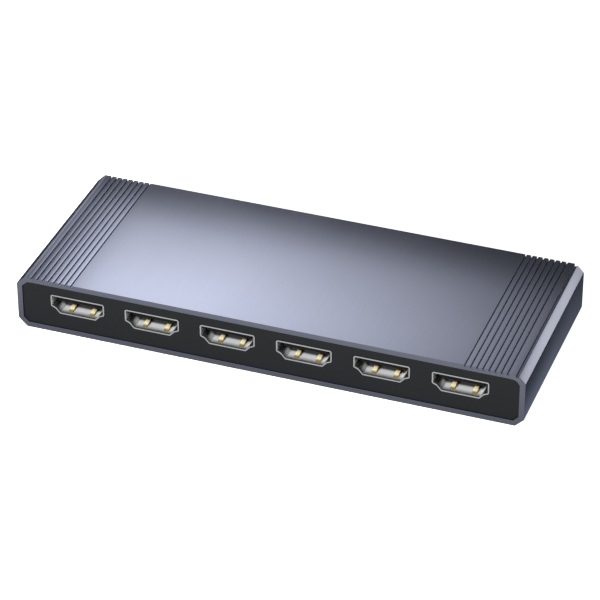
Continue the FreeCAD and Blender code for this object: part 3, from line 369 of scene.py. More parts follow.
def thick_sheet(front, back, kept, wrap):
    """A sheet between two grids of points, with a wall along each edge that only one kept face has."""
    rows, columns = front.shape[:2]
    faces = grid_faces(rows, columns, False, wrap)[kept.reshape(-1)]
    edges = np.stack([faces, np.roll(faces, -1, 1)], -1).reshape(-1, 2)
    _, index, uses = np.unique(np.sort(edges, 1), axis=0, return_index=True, return_counts=True)
    border = edges[index[uses == 1]]
    count = rows * columns
    walls = np.stack([border[:, 1], border[:, 0], border[:, 0] + count, border[:, 1] + count], 1)
    points = np.concatenate([front.reshape(-1, 3), back.reshape(-1, 3)])
    return points, np.concatenate([faces, faces[:, ::-1] + count, walls])


def open_shell(outline, sheet, lip, front, back):
    """A tube of thin sheet along Y with a rounded lip at its front.

    `outline` gives the tube's section drawn in by a distance. The outside and the inside, one sheet
    further in, turn towards each other by a quarter circle at the lip.
    """
    draw_in, along = roll_over(lip)
    draw_in = np.append(draw_in, 0.0)
    stations = np.append(front + math.copysign(1, back - front) * along, back)
    outer = np.stack([at_y(outline(inwards), y) for inwards, y in zip(draw_in, stations)])
    inner = np.stack([at_y(outline(sheet - inwards), y) for inwards, y in zip(draw_in, stations)])
    return thick_sheet(outer, inner, np.ones((len(stations) - 1, outer.shape[1]), bool), True)


def shell_legs(node, sheet, places, width, top, rounding):
    """Legs at the places along Y, in both sides of a shell, from a height down to the node's lowest."""
    low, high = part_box(node)
    legs = []
    for y in places:
        for left, right in ((low.x, low.x + sheet), (high.x - sheet, high.x)):
            legs.append(rounded_bar((left, y - width / 2, low.z), (right, y + width / 2, top), rounding))
    return legs


def turned(radii, heights, centre, axis, sides):
    """A profile of radii and heights turned about a line along Y or Z; a radius of nothing is a pole."""
    angles = np.linspace(0, 2 * np.pi, sides, endpoint=False)
    around = np.stack([np.cos(angles), np.sin(angles)], 1)[None] * np.asarray(radii)[:, None, None]
    along = np.broadcast_to(np.asarray(heights)[:, None, None], (*around.shape[:2], 1))
    if axis == "Y":
        grid = np.concatenate([around[..., :1], along, around[..., 1:]], -1)
        grid = grid + np.array([centre[0], 0, centre[1]])
    else:
        grid = np.concatenate([around, along], -1) + np.array([centre[0], centre[1], 0])
    return ring_surface(list(grid), False)


def flanged_pin(node, stem, cap, blend, flange_back, tip_radii, tip_depths, sides):
    """A stem, a flange as wide as the node and a cap, turned about the node's line along Y.

    The tip's own radii and depths follow the cap's. The stem's and the flange's edges are bevelled.
    """
    low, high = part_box(node)
    flange = (high.x - low.x) / 2
    front = BUTTON_LOW.y + settings("control").flange_front
    radii = [0.0, stem - blend, stem, stem, flange - blend, flange, flange, flange - blend, cap]
    depths = [low.y, low.y, low.y + blend, flange_back, flange_back, flange_back + blend,
              front - blend, front, front]
    return turned([*radii, *tip_radii], [*depths, *tip_depths], on_axis(node), "Y", sides)


def pierced_plate(low, high, corner, holes, face, inner_face, edge_round, hole_round):
    """A plate in the XZ plane with rounded corners, shaped holes and rounded front edges.

    The plate is a grid. Each column runs up from the plate's lower edge to its upper edge, in three bands
    that meet at the lower and the upper edge of a hole at that x. Beside a hole the band keeps the height
    of the hole's upright side, and between two holes it passes evenly from one to the other. The middle
    band is left out inside each hole. The front falls back by a quarter circle of the distance to the
    nearest edge.
    """
    outline = rounded_box(low, high, corner)
    inwards = edge_round * np.array([0, 0.06, 0.2, 0.45, 0.75, 1, 1.4])
    near_hole = hole_round * np.array([0, 0.1, 0.35, 0.65, 1, 1.4, 2.2, 3.5, 6])
    thinnest = 0.002 * MM
    ends = [(hole[:, 0].min(), hole[:, 0].max()) for hole in holes]
    columns = [outline[:, 0], low[0] + inwards, high[0] - inwards, *[hole[:, 0] for hole in holes]]
    columns += [left - near_hole for left, _ in ends] + [right + near_hole for _, right in ends]
    x = np.unique(np.concatenate(columns))
    x = x[np.append(np.diff(x) > thinnest, True)]

    def chain(outlines, upper):
        """The lower or upper points of outlines, as heights over x."""
        halves = [points[(points[:, 1] > (points[:, 1].min() + points[:, 1].max()) / 2) == upper]
                  for points in outlines]
        points = np.concatenate(halves)
        points = points[np.argsort(points[:, 0], kind="stable")]
        return np.interp(x, points[:, 0], points[:, 1])

    bottom, top = chain([outline], False), chain([outline], True)
    hole_bottom, hole_top = chain(holes, False), chain(holes, True)
    inner_shares = np.linspace(0, 1, 7)[1:-1, None]
    below = np.concatenate([bottom + inwards[:, None], hole_bottom - near_hole[::-1, None]])
    beside = hole_bottom + (hole_top - hole_bottom) * inner_shares
    above = np.concatenate([hole_top + near_hole[:, None], top - inwards[::-1, None]])
    z = np.concatenate([below, beside, above])
    points = np.stack([np.broadcast_to(x, z.shape), z], -1).reshape(-1, 2)
    to_edge = np.minimum(distance_to(outline, points), edge_round)
    to_hole = np.minimum(np.min([distance_to(hole, points) for hole in holes], 0), hole_round)
    fall = edge_round - np.sqrt(edge_round ** 2 - (edge_round - to_edge) ** 2)
    fall += hole_round - np.sqrt(hole_round ** 2 - (hole_round - to_hole) ** 2)
    outwards = math.copysign(1, face - inner_face)
    front = np.stack([points[:, 0], face - outwards * fall, points[:, 1]], -1).reshape(*z.shape, 3)
    back = front.copy()
    back[..., 1] = inner_face
    halfway = (x[1:] + x[:-1]) / 2
    inside = np.any([(halfway > left) & (halfway < right) for left, right in ends], 0)
    kept = np.ones((len(z) - 1, len(x) - 1), bool)
    first = len(below) - 1
    kept[first:first + len(beside) + 1] = ~inside
    return thick_sheet(front, back, kept, False)


def add_piece(name, node, slot, *parts, body=HOUSING):
    """Makes one mesh of parts, each a surface and its material, which rides on a body in place of a node."""
    sharp_angle, merge_distance = math.radians(32.0), 1e-7
    points, faces = joined(*[surface for surface, _ in parts])
    mesh = bpy.data.meshes.new(name)
    mesh.from_pydata(points.tolist(), [], faces.tolist())
    for _, material in parts:
        mesh.materials.append(material)
    owners = np.repeat(np.arange(len(parts)), [len(surface[1]) for surface, _ in parts])
    mesh.polygons.foreach_set("material_index", owners)
    shape = bmesh.new()
    shape.from_mesh(mesh)
    bmesh.ops.remove_doubles(shape, verts=shape.verts, dist=merge_distance)
    loose = [vertex for vertex in shape.verts if not vertex.link_faces]
    bmesh.ops.delete(shape, geom=loose, context="VERTS")
    bmesh.ops.recalc_face_normals(shape, faces=shape.faces)
    shape.to_mesh(mesh)
    shape.free()
    mesh.shade_smooth()
    mesh.set_sharp_from_angle(angle=sharp_angle)
    piece = bpy.data.objects.new(name, mesh)
    bpy.context.scene.collection.objects.link(piece)
    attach(piece, body)
    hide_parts(node)
    return piece


# Shader nodes

def add_node(tree, kind, inputs, output=0, **options):
    """A new node with its options set; each input is a plain value or a socket to read. Gives an output."""
    node = tree.nodes.new("ShaderNode" + kind)
    for option, value in options.items():
        setattr(node, option, value)
    for label, value in inputs.items():
        if isinstance(value, bpy.types.NodeSocket):
            tree.links.new(value, node.inputs[label])
        else:
            node.inputs[label].default_value = value
    return node.outputs[output]


def math_node(tree, operation, *values):
    """A Math node; each value is a number or a socket to read."""
    return add_node(tree, "Math", dict(enumerate(values)), operation=operation)


def smooth_step(tree, value, low, high):
    """A value's smooth rise from 0 at low to 1 at high, or its fall where low is above high."""
    return add_node(tree, "MapRange", {"Value": value, "From Min": low, "From Max": high}, "Result",
                    interpolation_type="SMOOTHSTEP")


def ramp(tree, value, low, high, to_low, to_high):
    """A value's even rise or fall between two levels, and no further."""
    inputs = {"Value": value, "From Min": low, "From Max": high, "To Min": to_low, "To Max": to_high}
    return add_node(tree, "MapRange", inputs, "Result")


def blended(tree, first, second, weight):
    """Two masks mixed, the second with the given weight."""
    return add_node(tree, "Mix", {"Factor": weight, "A": first, "B": second}, "Result")


def mixed(tree, mask, low, high):
    """Two colours mixed by a mask; each is three numbers or a socket to read."""
    first, second = [end if isinstance(end, bpy.types.NodeSocket) else (*end, 1.0) for end in (low, high)]
    return add_node(tree, "Mix", {"Factor": mask, "A": first, "B": second}, "Result", data_type="RGBA")


def object_place(tree):
    """The X, Y and Z sockets of the Object coordinates."""
    parts = tree.nodes.new("ShaderNodeSeparateXYZ")
    tree.links.new(add_node(tree, "TexCoord", {}, "Object"), parts.inputs[0])
    return parts.outputs


def noise_group(name, stretch, detail, low, high):
    """A shader group that several materials share: noise of a real size, with a smooth cut-off."""
    group = bpy.data.node_groups.new(name, "ShaderNodeTree")
    for label, side in (("Size mm", "INPUT"), ("Seed", "INPUT"), ("Mask", "OUTPUT")):
        group.interface.new_socket(name=label, in_out=side, socket_type="NodeSocketFloat")
    given = group.nodes.new("NodeGroupInput").outputs
    place = add_node(group, "TexCoord", {}, "Object")
    inputs = {
        "Vector": add_node(group, "VectorMath", {0: place, 1: stretch}, operation="MULTIPLY"),
        "W": given["Seed"],
        "Scale": math_node(group, "DIVIDE", 1 / MM, given["Size mm"]),
        "Detail": detail,
    }
    noise = add_node(group, "TexNoise", inputs, "Fac", noise_dimensions="4D")
    result = group.nodes.new("NodeGroupOutput")
    group.links.new(smooth_step(group, noise, low, high), result.inputs["Mask"])
    return group


def noise_mask(tree, name, size, seed, **shape):
    """Places a shared noise in a material, with its size in mm and its seed; gives the mask."""
    group = bpy.data.node_groups.get(name) or noise_group(name, **shape)
    return add_node(tree, "Group", {"Size mm": size, "Seed": seed}, "Mask", node_tree=group)


def grain_mask(tree, size):
    """Fine even grain, as on a blasted metal or a moulded plastic surface."""
    return noise_mask(tree, "Surface Grain", size, 0.0, stretch=(1, 1, 1), detail=3.0, low=0.3, high=0.7)


def streak_mask(tree, size):
    """Long faint streaks along Y, left by the extrusion die or the rolling of a sheet."""
    return noise_mask(tree, "Drawn Streaks", size, 0.0, stretch=(1, 0.015, 1), detail=2.0, low=0.3, high=0.7)


def smudge_mask(tree, size, seed=0.0):
    """Broad soft patches, as handling leaves on a satin or glossy surface."""
    return noise_mask(tree, "Handling Smudges", size, seed, stretch=(1, 1, 1), detail=5.0, low=0.42,
                      high=0.7)


def rolled_mask(tree):
    """The faint streaks and orange-peel grain of pressed and plated sheet."""
    return blended(tree, streak_mask(tree, size=0.12), grain_mask(tree, size=0.08), weight=0.5)


# Materials

FINE_BUMP = 0.0015 * MM
# Plated metals: reflection colour and roughness
PLATING = {
    "contact gold": ((0.85, 0.64, 0.28), 0.25),
    "power shell steel": ((0.6, 0.59, 0.56), 0.3),
    "switch steel": ((0.64, 0.64, 0.63), 0.28),
    "can aluminium": ((0.72, 0.73, 0.74), 0.25),
    "screw steel": ((0.2, 0.2, 0.21), 0.35),
}
# Mouldings: reflection colour, roughness, size and depth of the grain in mm, specular level
MOULDING = {
    "panel plastic": ((0.0045, 0.0054, 0.0068), 0.5, 0.12, 0.002, 0.45),
    "insulator plastic": ((0.003, 0.003, 0.0035), 0.45, 0.1, 0.002, 0.2),
    "button plastic": ((0.03, 0.031, 0.034), 0.38, 0.09, 0.0015, 0.5),
    "plunger plastic": ((0.28, 0.14, 0.06), 0.45, 0.1, 0.002, 0.5),
    "lamp package": ((0.8, 0.81, 0.78), 0.4, 0.1, 0.001, 0.5),
    "receiver epoxy": ((0.015, 0.014, 0.016), 0.3, 0.15, 0.001, 0.5),
    "array epoxy": ((0.02, 0.02, 0.021), 0.55, 0.1, 0.003, 0.5),
    "ferrite": ((0.09, 0.088, 0.09), 0.6, 0.2, 0.01, 0.5),
    "capacitor ceramic": ((0.42, 0.29, 0.17), 0.5, 0.1, 0.002, 0.5),
    "resistor glaze": ((0.03, 0.03, 0.034), 0.3, 0.1, 0.001, 0.5),
}


def start_material(name, metallic, roughness, base):
    """A new material whose Principled shader has plain values on its own sockets; gives its inputs too."""
    material = bpy.data.materials.new(name)
    material.use_nodes = True
    tree = material.node_tree
    inputs = tree.nodes["Principled BSDF"].inputs
    inputs["Metallic"].default_value = metallic
    inputs["Roughness"].default_value = roughness
    inputs["Base Color"].default_value = (*base, 1.0)
    return material, tree, inputs


def finished(material, shade, rough, raised):
    """Leads in a colour, a mask with its range of roughness, and a mask with the depth of its bumps."""
    tree = material.node_tree
    inputs = tree.nodes["Principled BSDF"].inputs
    rough_mask, smoothest, roughest = rough
    height, depth = raised
    tree.links.new(shade, inputs["Base Color"])
    tree.links.new(ramp(tree, rough_mask, 0.0, 1.0, smoothest, roughest), inputs["Roughness"])
    bump = add_node(tree, "Bump", {"Height": height, "Distance": depth}, "Normal")
    tree.links.new(bump, inputs["Normal"])
    return material


def scaled(base, factor):
    """A colour made lighter or darker by a factor."""
    return tuple(min(channel * factor, 1.0) for channel in base)


def anodised_aluminium():
    """Blasted and anodised aluminium, with a painted highlight: a brighter line along the edge where the top
    face starts on the left.
    """
    values = settings("sleeve")
    base = tuple(values.color)
    material, tree, _ = start_material("anodised aluminium", 1.0, values.roughness, base)
    grain = grain_mask(tree, size=0.14)
    surface = blended(tree, grain, streak_mask(tree, size=0.35), weight=0.3)
    finish = blended(tree, surface, smudge_mask(tree, size=22.0), weight=0.5)
    place = object_place(tree)
    # Painted highlight: a line 2.4 times brighter along the left upper edge, where the edge would catch the
    # light.
    line_fade, below_top, near_top = 0.25 * MM, 0.12 * MM, 0.03 * MM
    darker, lighter, highlight_gain = 0.94, 1.06, 2.4
    line_end = SLEEVE_LOW.x + values.corner_chamfer + values.edge_highlight
    beside = smooth_step(tree, place["X"], line_end, line_end - line_fade)
    on_top = smooth_step(tree, place["Z"], SLEEVE_HIGH.z - below_top, SLEEVE_HIGH.z - near_top)
    line = math_node(tree, "MULTIPLY", beside, on_top)
    plain = mixed(tree, surface, scaled(base, darker), scaled(base, lighter))
    shade = mixed(tree, line, plain, scaled(base, highlight_gain))
    rough = (finish, values.roughness - 0.02, values.roughness + 0.03)
    return finished(material, shade, rough, (grain, FINE_BUMP))


def moulded_plastic(name):
    """Plastic or ceramic with the fine even texture of a blasted mould."""
    base, roughness, grain_size, grain_depth, specular = MOULDING[name]
    darker, lighter = 0.8, 1.2
    material, tree, inputs = start_material(name, 0.0, roughness, base)
    inputs["Specular IOR Level"].default_value = specular
    grain = grain_mask(tree, grain_size)
    surface = blended(tree, grain, smudge_mask(tree, size=9.0, seed=2.0), weight=0.3)
    shade = mixed(tree, surface, scaled(base, darker), scaled(base, lighter))
    return finished(material, shade, (surface, roughness - 0.05, roughness + 0.07),
                    (grain, grain_depth * MM))


def plated_metal(name):
    """Pressed and plated sheet, with faint streaks and orange peel."""
    base, roughness = PLATING[name]
    darker, lighter = 0.86, 1.1
    material, tree, _ = start_material(name, 1.0, roughness, base)
    surface = rolled_mask(tree)
    shade = mixed(tree, surface, scaled(base, darker), scaled(base, lighter))
    return finished(material, shade, (surface, roughness - 0.07, roughness + 0.08), (surface, FINE_BUMP))


def shell_steel():
    """Nickel-plated sheet: bright in front, milky on the floor, which plugs rub, and darkened by painted
    shade further in, where the shell's top and the tongue would shade the inside.
    """
    material, tree, inputs = start_material("shell steel", 1.0, 0.36, (0.56, 0.56, 0.54))
    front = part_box(f"hdmi_shell_{SOCKETS[0]}")[0].y
    step = BOARD_HIGH.z + settings("socket").step_height
    rub_start, rub_full = front + 0.1 * MM, front + 2.6 * MM
    rub_top, rub_floor = step + 0.3 * MM, step - 0.5 * MM
    # Painted shade: deeper in, the colour fades to near black where the tongue and the shell's top shade the
    # inside.
    shade_start, shade_full = front + 3.2 * MM, front + 4.3 * MM
    clean, milky, dark = (0.88, 0.91, 0.94), (0.8, 0.82, 0.83), (0.06, 0.06, 0.06)
    place = object_place(tree)
    behind_edge = smooth_step(tree, place["Y"], rub_start, rub_full)
    below_step = smooth_step(tree, place["Z"], rub_top, rub_floor)
    rubbed = math_node(tree, "MULTIPLY", behind_edge, below_step)
    surface = rolled_mask(tree)
    lit = mixed(tree, blended(tree, surface, rubbed, weight=0.8), clean, milky)
    shade = mixed(tree, smooth_step(tree, place["Y"], shade_start, shade_full), lit, dark)
    tree.links.new(ramp(tree, rubbed, 0.0, 1.0, to_low=1.0, to_high=0.3), inputs["Metallic"])
    return finished(material, shade, (surface, 0.3, 0.45), (surface, FINE_BUMP))


def finger_gold():
    """Gold plating with a painted highlight, a pale band a little ahead of each crest, and painted shade
    behind the crest.
    """
    material, tree, inputs = start_material("finger gold", 0.55, 0.32, (0.62, 0.46, 0.17))
    # Painted highlight: a pale, less metallic band against a duller gold just ahead of the crest, where the
    # finger would catch the light.
    highlight_ahead, highlight_half, highlight_fade = 0.6 * MM, 0.5 * MM, 1.4 * MM
    dull, bright, dark = (0.36, 0.25, 0.08), (0.86, 0.76, 0.46), (0.1, 0.045, 0.02)
    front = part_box(f"hdmi_shell_{SOCKETS[0]}")[0].y
    highlight_at = front + settings("socket").finger_crest - highlight_ahead
    # Painted shade: behind the crest the colour fades to dark brown, where the shell's top and the tongue
    # shade the finger.
    shade_start, shade_full = highlight_at + 0.9 * MM, highlight_at + 1.7 * MM
    along = object_place(tree)["Y"]
    away = math_node(tree, "ABSOLUTE", math_node(tree, "SUBTRACT", along, highlight_at))
    finger_highlight = smooth_step(tree, away, highlight_fade, highlight_half)
    grain = grain_mask(tree, size=0.1)
    lit = mixed(tree, blended(tree, grain, finger_highlight, weight=0.93), dull, bright)
    shade = mixed(tree, smooth_step(tree, along, shade_start, shade_full), lit, dark)
    tree.links.new(ramp(tree, finger_highlight, 0.0, 1.0, to_low=0.7, to_high=0.15), inputs["Metallic"])
    return finished(material, shade, (grain, 0.26, 0.42), (grain, FINE_BUMP))


def rubber():
    """Matt rubber with a little dust."""
    material, tree, _ = start_material("foot rubber", 0.0, 0.75, (0.03, 0.03, 0.032))
    grain = grain_mask(tree, size=0.22)
    dusty = blended(tree, grain, smudge_mask(tree, size=3.0, seed=5.0), weight=0.6)
    black, dust = (0.022, 0.022, 0.023), (0.05, 0.049, 0.047)
    shade = mixed(tree, dusty, black, dust)
    return finished(material, shade, (grain, 0.68, 0.85), (grain, 0.01 * MM))


def clear_plastic(name, base, transmission, roughness):
    """Clear moulded plastic with faint flow marks."""
    material, tree, inputs = start_material(name, 0.0, roughness, base)
    inputs["Transmission Weight"].default_value = transmission
    inputs["IOR"].default_value = 1.49
    flow = smudge_mask(tree, size=1.6, seed=3.0)
    shade = mixed(tree, flow, scaled(base, 0.9), base)
    return finished(material, shade, (flow, roughness, roughness + 0.08), (flow, 0.004 * MM))


def solder_mask():
    """Green lacquer over copper tracks, which stand out a little and are paler."""
    material, tree, _ = start_material("board laminate", 0.0, 0.35, (0.01, 0.09, 0.045))
    pattern = {
        "Vector": add_node(tree, "TexCoord", {}, "Object"),
        "Scale": 0.25 / MM,
        "Mortar Size": 0.06,
        "Brick Width": 2.3,
        "Row Height": 0.25,
    }
    tracks = add_node(tree, "TexBrick", pattern, "Fac")
    green, pale = (0.006, 0.07, 0.035), (0.02, 0.16, 0.08)
    shade = mixed(tree, tracks, green, pale)
    return finished(material, shade, (grain_mask(tree, size=0.2), 0.25, 0.4), (tracks, 0.03 * MM))


def leaded_chip(node, four_sided):
    """Matt epoxy whose bent leads shine: a lead is whatever lies beyond the package's sides."""
    lead_reach, tolerance = 1.0 * MM, 0.005 * MM
    black, bright = (0.02, 0.02, 0.021), (0.6, 0.59, 0.56)
    low, high = np.array(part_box(node))
    centre = (low + high) / 2
    half = (high - low) / 2 - lead_reach + tolerance
    material, tree, inputs = start_material(f"epoxy of {node}", 0.0, 0.55, black)
    place = object_place(tree)

    def beyond(axis):
        offset = math_node(tree, "SUBTRACT", place[axis], centre[axis])
        return math_node(tree, "GREATER_THAN", math_node(tree, "ABSOLUTE", offset), half[axis])

    leads = beyond(1)
    if four_sided:
        leads = math_node(tree, "MAXIMUM", leads, beyond(0))
    grain = grain_mask(tree, size=0.12)
    tree.links.new(leads, inputs["Metallic"])
    return finished(material, mixed(tree, leads, black, bright), (grain, 0.42, 0.62), (grain, 0.004 * MM))


def dress(material, *nodes):
    """Gives CAD nodes a procedural material in place of their plain one."""
    for node in nodes:
        materials = NODES[node].data.materials
        materials.clear()
        materials.append(material)


# Operators

class HDMISWITCH_OT_sleeve(bpy.types.Operator):
    """Makes the extruded sleeve with its grooves and rails"""
    bl_idname = "hdmi_switch.sleeve"
    bl_label = "Sleeve"

    def execute(self, context):
        values = settings("sleeve")
        surface = joined(self.skin(values), *self.rails(values))
        add_piece("sleeve", "housing_sleeve", "anodised_aluminium", (surface, anodised_aluminium()))
        return {"FINISHED"}

    def polygon(self, values):
        """The extrusion's outer polygon and the radius of each corner."""
        end, bottom, top = SLEEVE_HIGH.x, SLEEVE_LOW.z, SLEEVE_HIGH.z
        leg = values.corner_chamfer
        upper, upper_radii = self.upper_corner(values)
        corners = [(-end + leg, bottom), (end - leg, bottom), (end, bottom + leg), *upper]
        radii = [values.corner_blend] * 3 + upper_radii
        outermost = end - values.groove_margin
        one_side = [outermost - values.groove_pitch * index for index in range(values.groove_count)]
        mouth, floor = values.groove_width / 2, values.groove_floor / 2
        for even_x in one_side + [-x for x in reversed(one_side)]:
            x = even_x - values.groove_offset
            corners += [(x + mouth, top), (x + floor, top - values.groove_depth),
                        (x - floor, top - values.groove_depth), (x - mouth, top)]
            radii += [values.groove_lip, values.groove_root, values.groove_root, values.groove_lip]
        corners += [(-end + leg, top), (-end, top - leg), (-end, bottom + leg)]
        radii += [values.groove_lip, values.corner_blend, values.corner_blend]
        return np.array(corners), np.array(radii)

    def upper_corner(self, values):
        """The right upper corner, from the end face up: a crowned chamfer, and a groove where it ends."""
        end, top, leg = SLEEVE_HIGH.x, SLEEVE_HIGH.z, values.corner_chamfer
        edge = end - leg
        crown = leg / 2 - values.chamfer_crown
        far, near = values.edge_groove_outer, values.edge_groove_inner
        far_share, near_share = 0.5, 0.8
        floor_far, floor_near = far * far_share, near * near_share
        fall = crown * far / (leg - crown)
        floor = top - values.edge_groove_depth
        points = [(end, top - leg), (end - crown, top - crown), (edge + far, top - fall),
                  (edge + floor_far, floor), (edge - floor_near, floor), (edge - near, top)]
        radii = [values.corner_blend, values.crown_radius, values.groove_lip, values.groove_root,
                 values.groove_root, values.groove_lip]
        return points, radii

    def skin(self, values):
        """The outer outline carried along Y, rounded at each mouth, and back along the inner wall.

        One more loop, the support, lies a little further in on each mouth's rim.
        """
        corners, radii = self.polygon(values)
        inner_low = np.array([-SLEEVE_HIGH.x, SLEEVE_LOW.z]) + values.wall
        inner_high = np.array([SLEEVE_HIGH.x, SLEEVE_HIGH.z]) - values.wall
        arc_steps, smallest, support = 6, 0.02 * MM, 1.3

        def outer(inwards):
            return inset_outline(corners, radii, inwards, arc_steps, smallest)

        def inner(outwards):
            return nearest_on_rounded_box(outer(0.0), inner_low - outwards, inner_high + outwards,
                                          values.inner_radius + outwards)

        def sections(outlines, depths, side):
            return [at_y(outline, side * y) for outline, y in zip(outlines, depths)]

        draw_in, along = roll_over(values.mouth_round)
        draw_in, along = np.append(support * values.mouth_round, draw_in), np.append(0.0, along)
        outlines = [outer(inwards) for inwards in draw_in]
        mouths = [inner(outwards / 2) for outwards in draw_in]
        depths = SLEEVE_HIGH.y - along
        inner_depths = SLEEVE_HIGH.y - along / 2
        loops = sections(outlines, depths, -1) + sections(outlines, depths, 1)[::-1]
        loops += sections(mouths, inner_depths, 1) + sections(mouths, inner_depths, -1)[::-1]
        return ring_surface(loops, True)

    def rails(self, values):
        """Four rounded bars on the end walls, two below and two above the board's ends."""
        half_depth = SLEEVE_HIGH.y - settings("panel").thickness - values.rail_setback
        gap, thickness = values.rail_gap, values.rail_thickness
        below = (BOARD_LOW.z - thickness, BOARD_LOW.z)
        above = (BOARD_HIGH.z + gap, BOARD_HIGH.z + gap + thickness)
        inner_end = SLEEVE_HIGH.x - values.wall
        inside, outside = inner_end - values.rail_reach, inner_end + values.wall / 2
        bars = []
        for left, right in ((-outside, -inside), (inside, outside)):
            for low, high in (below, above):
                corners = (left, -half_depth, low), (right, half_depth, high)
                bars.append(rounded_bar(*corners, values.rail_round))
        return bars


def socket_outline(node, inwards):
    """The section of an HDMI socket's shell, drawn in or let out by a distance."""
    values = settings("socket")
    low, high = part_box(node)
    half, height = (high.x - low.x) / 2, high.z - BOARD_HIGH.z
    arc_steps, smallest = 6, 0.1 * MM
    right = [(values.flat_half_width, 0.0), (values.step_half_width, values.step_height),
             (half, values.shoulder_height), (half, height)]
    radii = [values.floor_round, values.step_round, values.side_round, values.side_round]
    corners = np.array(right + [(-side, up) for side, up in reversed(right)])
    outline = inset_outline(corners, np.array(radii + radii[::-1]), inwards, arc_steps, smallest)
    return outline + np.array([(low.x + high.x) / 2, BOARD_HIGH.z])


class HDMISWITCH_OT_panels(bpy.types.Operator):
    """Makes both moulded panels with their holes and screw lugs"""
    bl_idname = "hdmi_switch.panels"
    bl_label = "Panels"

    def execute(self, context):
        values = settings("panel")
        plastic = moulded_plastic("panel plastic")
        port_holes = [socket_outline(f"hdmi_shell_{number}", -values.socket_gap) for number in SOCKETS]
        self.panel(values, "port_face", "port_panel", port_holes, -1, plastic)
        self.panel(values, "control_face", "control_panel", self.control_holes(values), 1, plastic)
        return {"FINISHED"}

    def control_holes(self, values):
        """Holes for the power socket, the infrared window, the button and the lights."""
        sizes = settings("control")
        low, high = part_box("power_socket_shell")
        power = np.array([(high.x - low.x) / 2, high.z - CONTROL_AXIS]) + values.socket_gap
        window = np.array([sizes.window_width, sizes.window_height]) + values.light_gap
        window_corner = sizes.window_corner + values.light_gap
        button = sizes.button_radius + values.button_gap
        pipe = sizes.pipe_radius + values.light_gap
        holes = [centred_box(on_axis("power_socket_shell"), power, values.power_corner),
                 centred_box(on_axis("infrared_window"), window, window_corner),
                 circle(on_axis("select_button"), button, sides=64)]
        return holes + [circle(on_axis(f"light_pipe_{number}"), pipe, sides=32) for number in LIGHTS]

    def panel(self, values, name, node, holes, side, plastic):
        """A pierced plate in the sleeve's mouth, with two lugs that reach in along the floor."""
        wall = settings("sleeve").wall + values.clearance
        low = np.array([SLEEVE_LOW.x, SLEEVE_LOW.z]) + wall
        high = np.array([SLEEVE_HIGH.x, SLEEVE_HIGH.z]) - wall
        face = side * CONTROL_HIGH.y
        inner_face = side * (CONTROL_HIGH.y - values.thickness)
        corner = settings("sleeve").inner_radius - values.clearance
        plate = pierced_plate(low, high, corner, holes, face, inner_face, values.edge_round,
                              values.hole_round)
        front, back = sorted([(face + inner_face) / 2, inner_face - side * values.lug_reach])
        half, base = values.lug_width / 2, CONTROL_LOW.z
        lugs = []
        for x in (values.lug_inset - SLEEVE_HIGH.x, SLEEVE_HIGH.x - values.lug_inset):
            corners = (x - half, front, base), (x + half, back, base + values.lug_height)
            lugs.append(rounded_bar(*corners, values.lug_round))
        add_piece(name, node, "panel_plastic", (joined(plate, *lugs), plastic))


class HDMISWITCH_OT_hdmi_shells(bpy.types.Operator):
    """Makes the pressed shells of the HDMI sockets with their spring fingers"""
    bl_idname = "hdmi_switch.hdmi_shells"
    bl_label = "HDMI shells"

    def execute(self, context):
        values = settings("socket")
        steel = shell_steel()
        gold = finger_gold()
        for number in SOCKETS:
            node = f"hdmi_shell_{number}"
            low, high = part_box(node)
            skin = open_shell(lambda inwards: socket_outline(node, inwards), values.sheet, values.lip_round,
                              low.y, high.y)
            legs = shell_legs(node, values.sheet, (low.y + values.leg_front, low.y + values.leg_back),
                              values.leg_width, BOARD_HIGH.z + values.leg_top, values.leg_round)
            between = middle(node)[0] + values.finger_offset
            half = values.finger_spacing / 2
            fingers = [self.finger(values, x, low.y) for x in (between - half, between + half)]
            add_piece(f"socket_shell_{number}", node, "shell_steel", (joined(skin, *legs), steel),
                      (joined(*fingers), gold))
        return {"FINISHED"}

    def finger(self, values, x, front):
        """A strip that rises from the floor along a circle through its start, its crest and its end.

        The strip's section is a rounded rectangle with a shallow crown, a little narrower towards the end.
        """
        floor = BOARD_HIGH.z + values.sheet
        start = np.array([values.finger_start, 0.0])
        crest = np.array([values.finger_crest, values.finger_rise])
        end = np.array([values.finger_end, 0.0])
        rows = 2 * np.array([crest - start, end - start])
        centre = np.linalg.solve(rows, [crest @ crest - start @ start, end @ end - start @ start])
        radius = np.linalg.norm(start - centre)
        first = math.atan2(start[1] - centre[1], start[0] - centre[0])
        last = math.atan2(end[1] - centre[1], end[0] - centre[0])
        rings = 25
        angles = np.linspace(first, last, rings)
        half, sheet = values.finger_width / 2, values.finger_sheet
        section = rounded_box((-half, -sheet), (half, 0.0), values.finger_round, steps=3)
        crown = -values.finger_crown * (section[:, 0] / half) ** 2 * (section[:, 1] > -sheet / 2)
        loops = []
        for angle, width in zip(angles, np.linspace(1.0, values.finger_taper, rings)):
            y = front + centre[0] + radius * math.cos(angle)
            z = floor + centre[1] + radius * math.sin(angle)
            outline = np.stack([x + section[:, 0] * width, z + section[:, 1] + crown], 1)
            loops.append(at_y(outline, y))
        return closed_tube(loops)


class HDMISWITCH_OT_hdmi_cores(bpy.types.Operator):
    """Gives the tongues and contacts of the sockets their plastic and gold"""
    bl_idname = "hdmi_switch.hdmi_cores"
    bl_label = "Tongues and contacts"

    def execute(self, context):
        dress(moulded_plastic("insulator plastic"), *[f"hdmi_tongue_{number}" for number in SOCKETS],
              "power_socket_tongue", "push_switch_body")
        dress(plated_metal("contact gold"), *[f"hdmi_contacts_{number}" for number in SOCKETS],
              "power_socket_contacts")
        return {"FINISHED"}


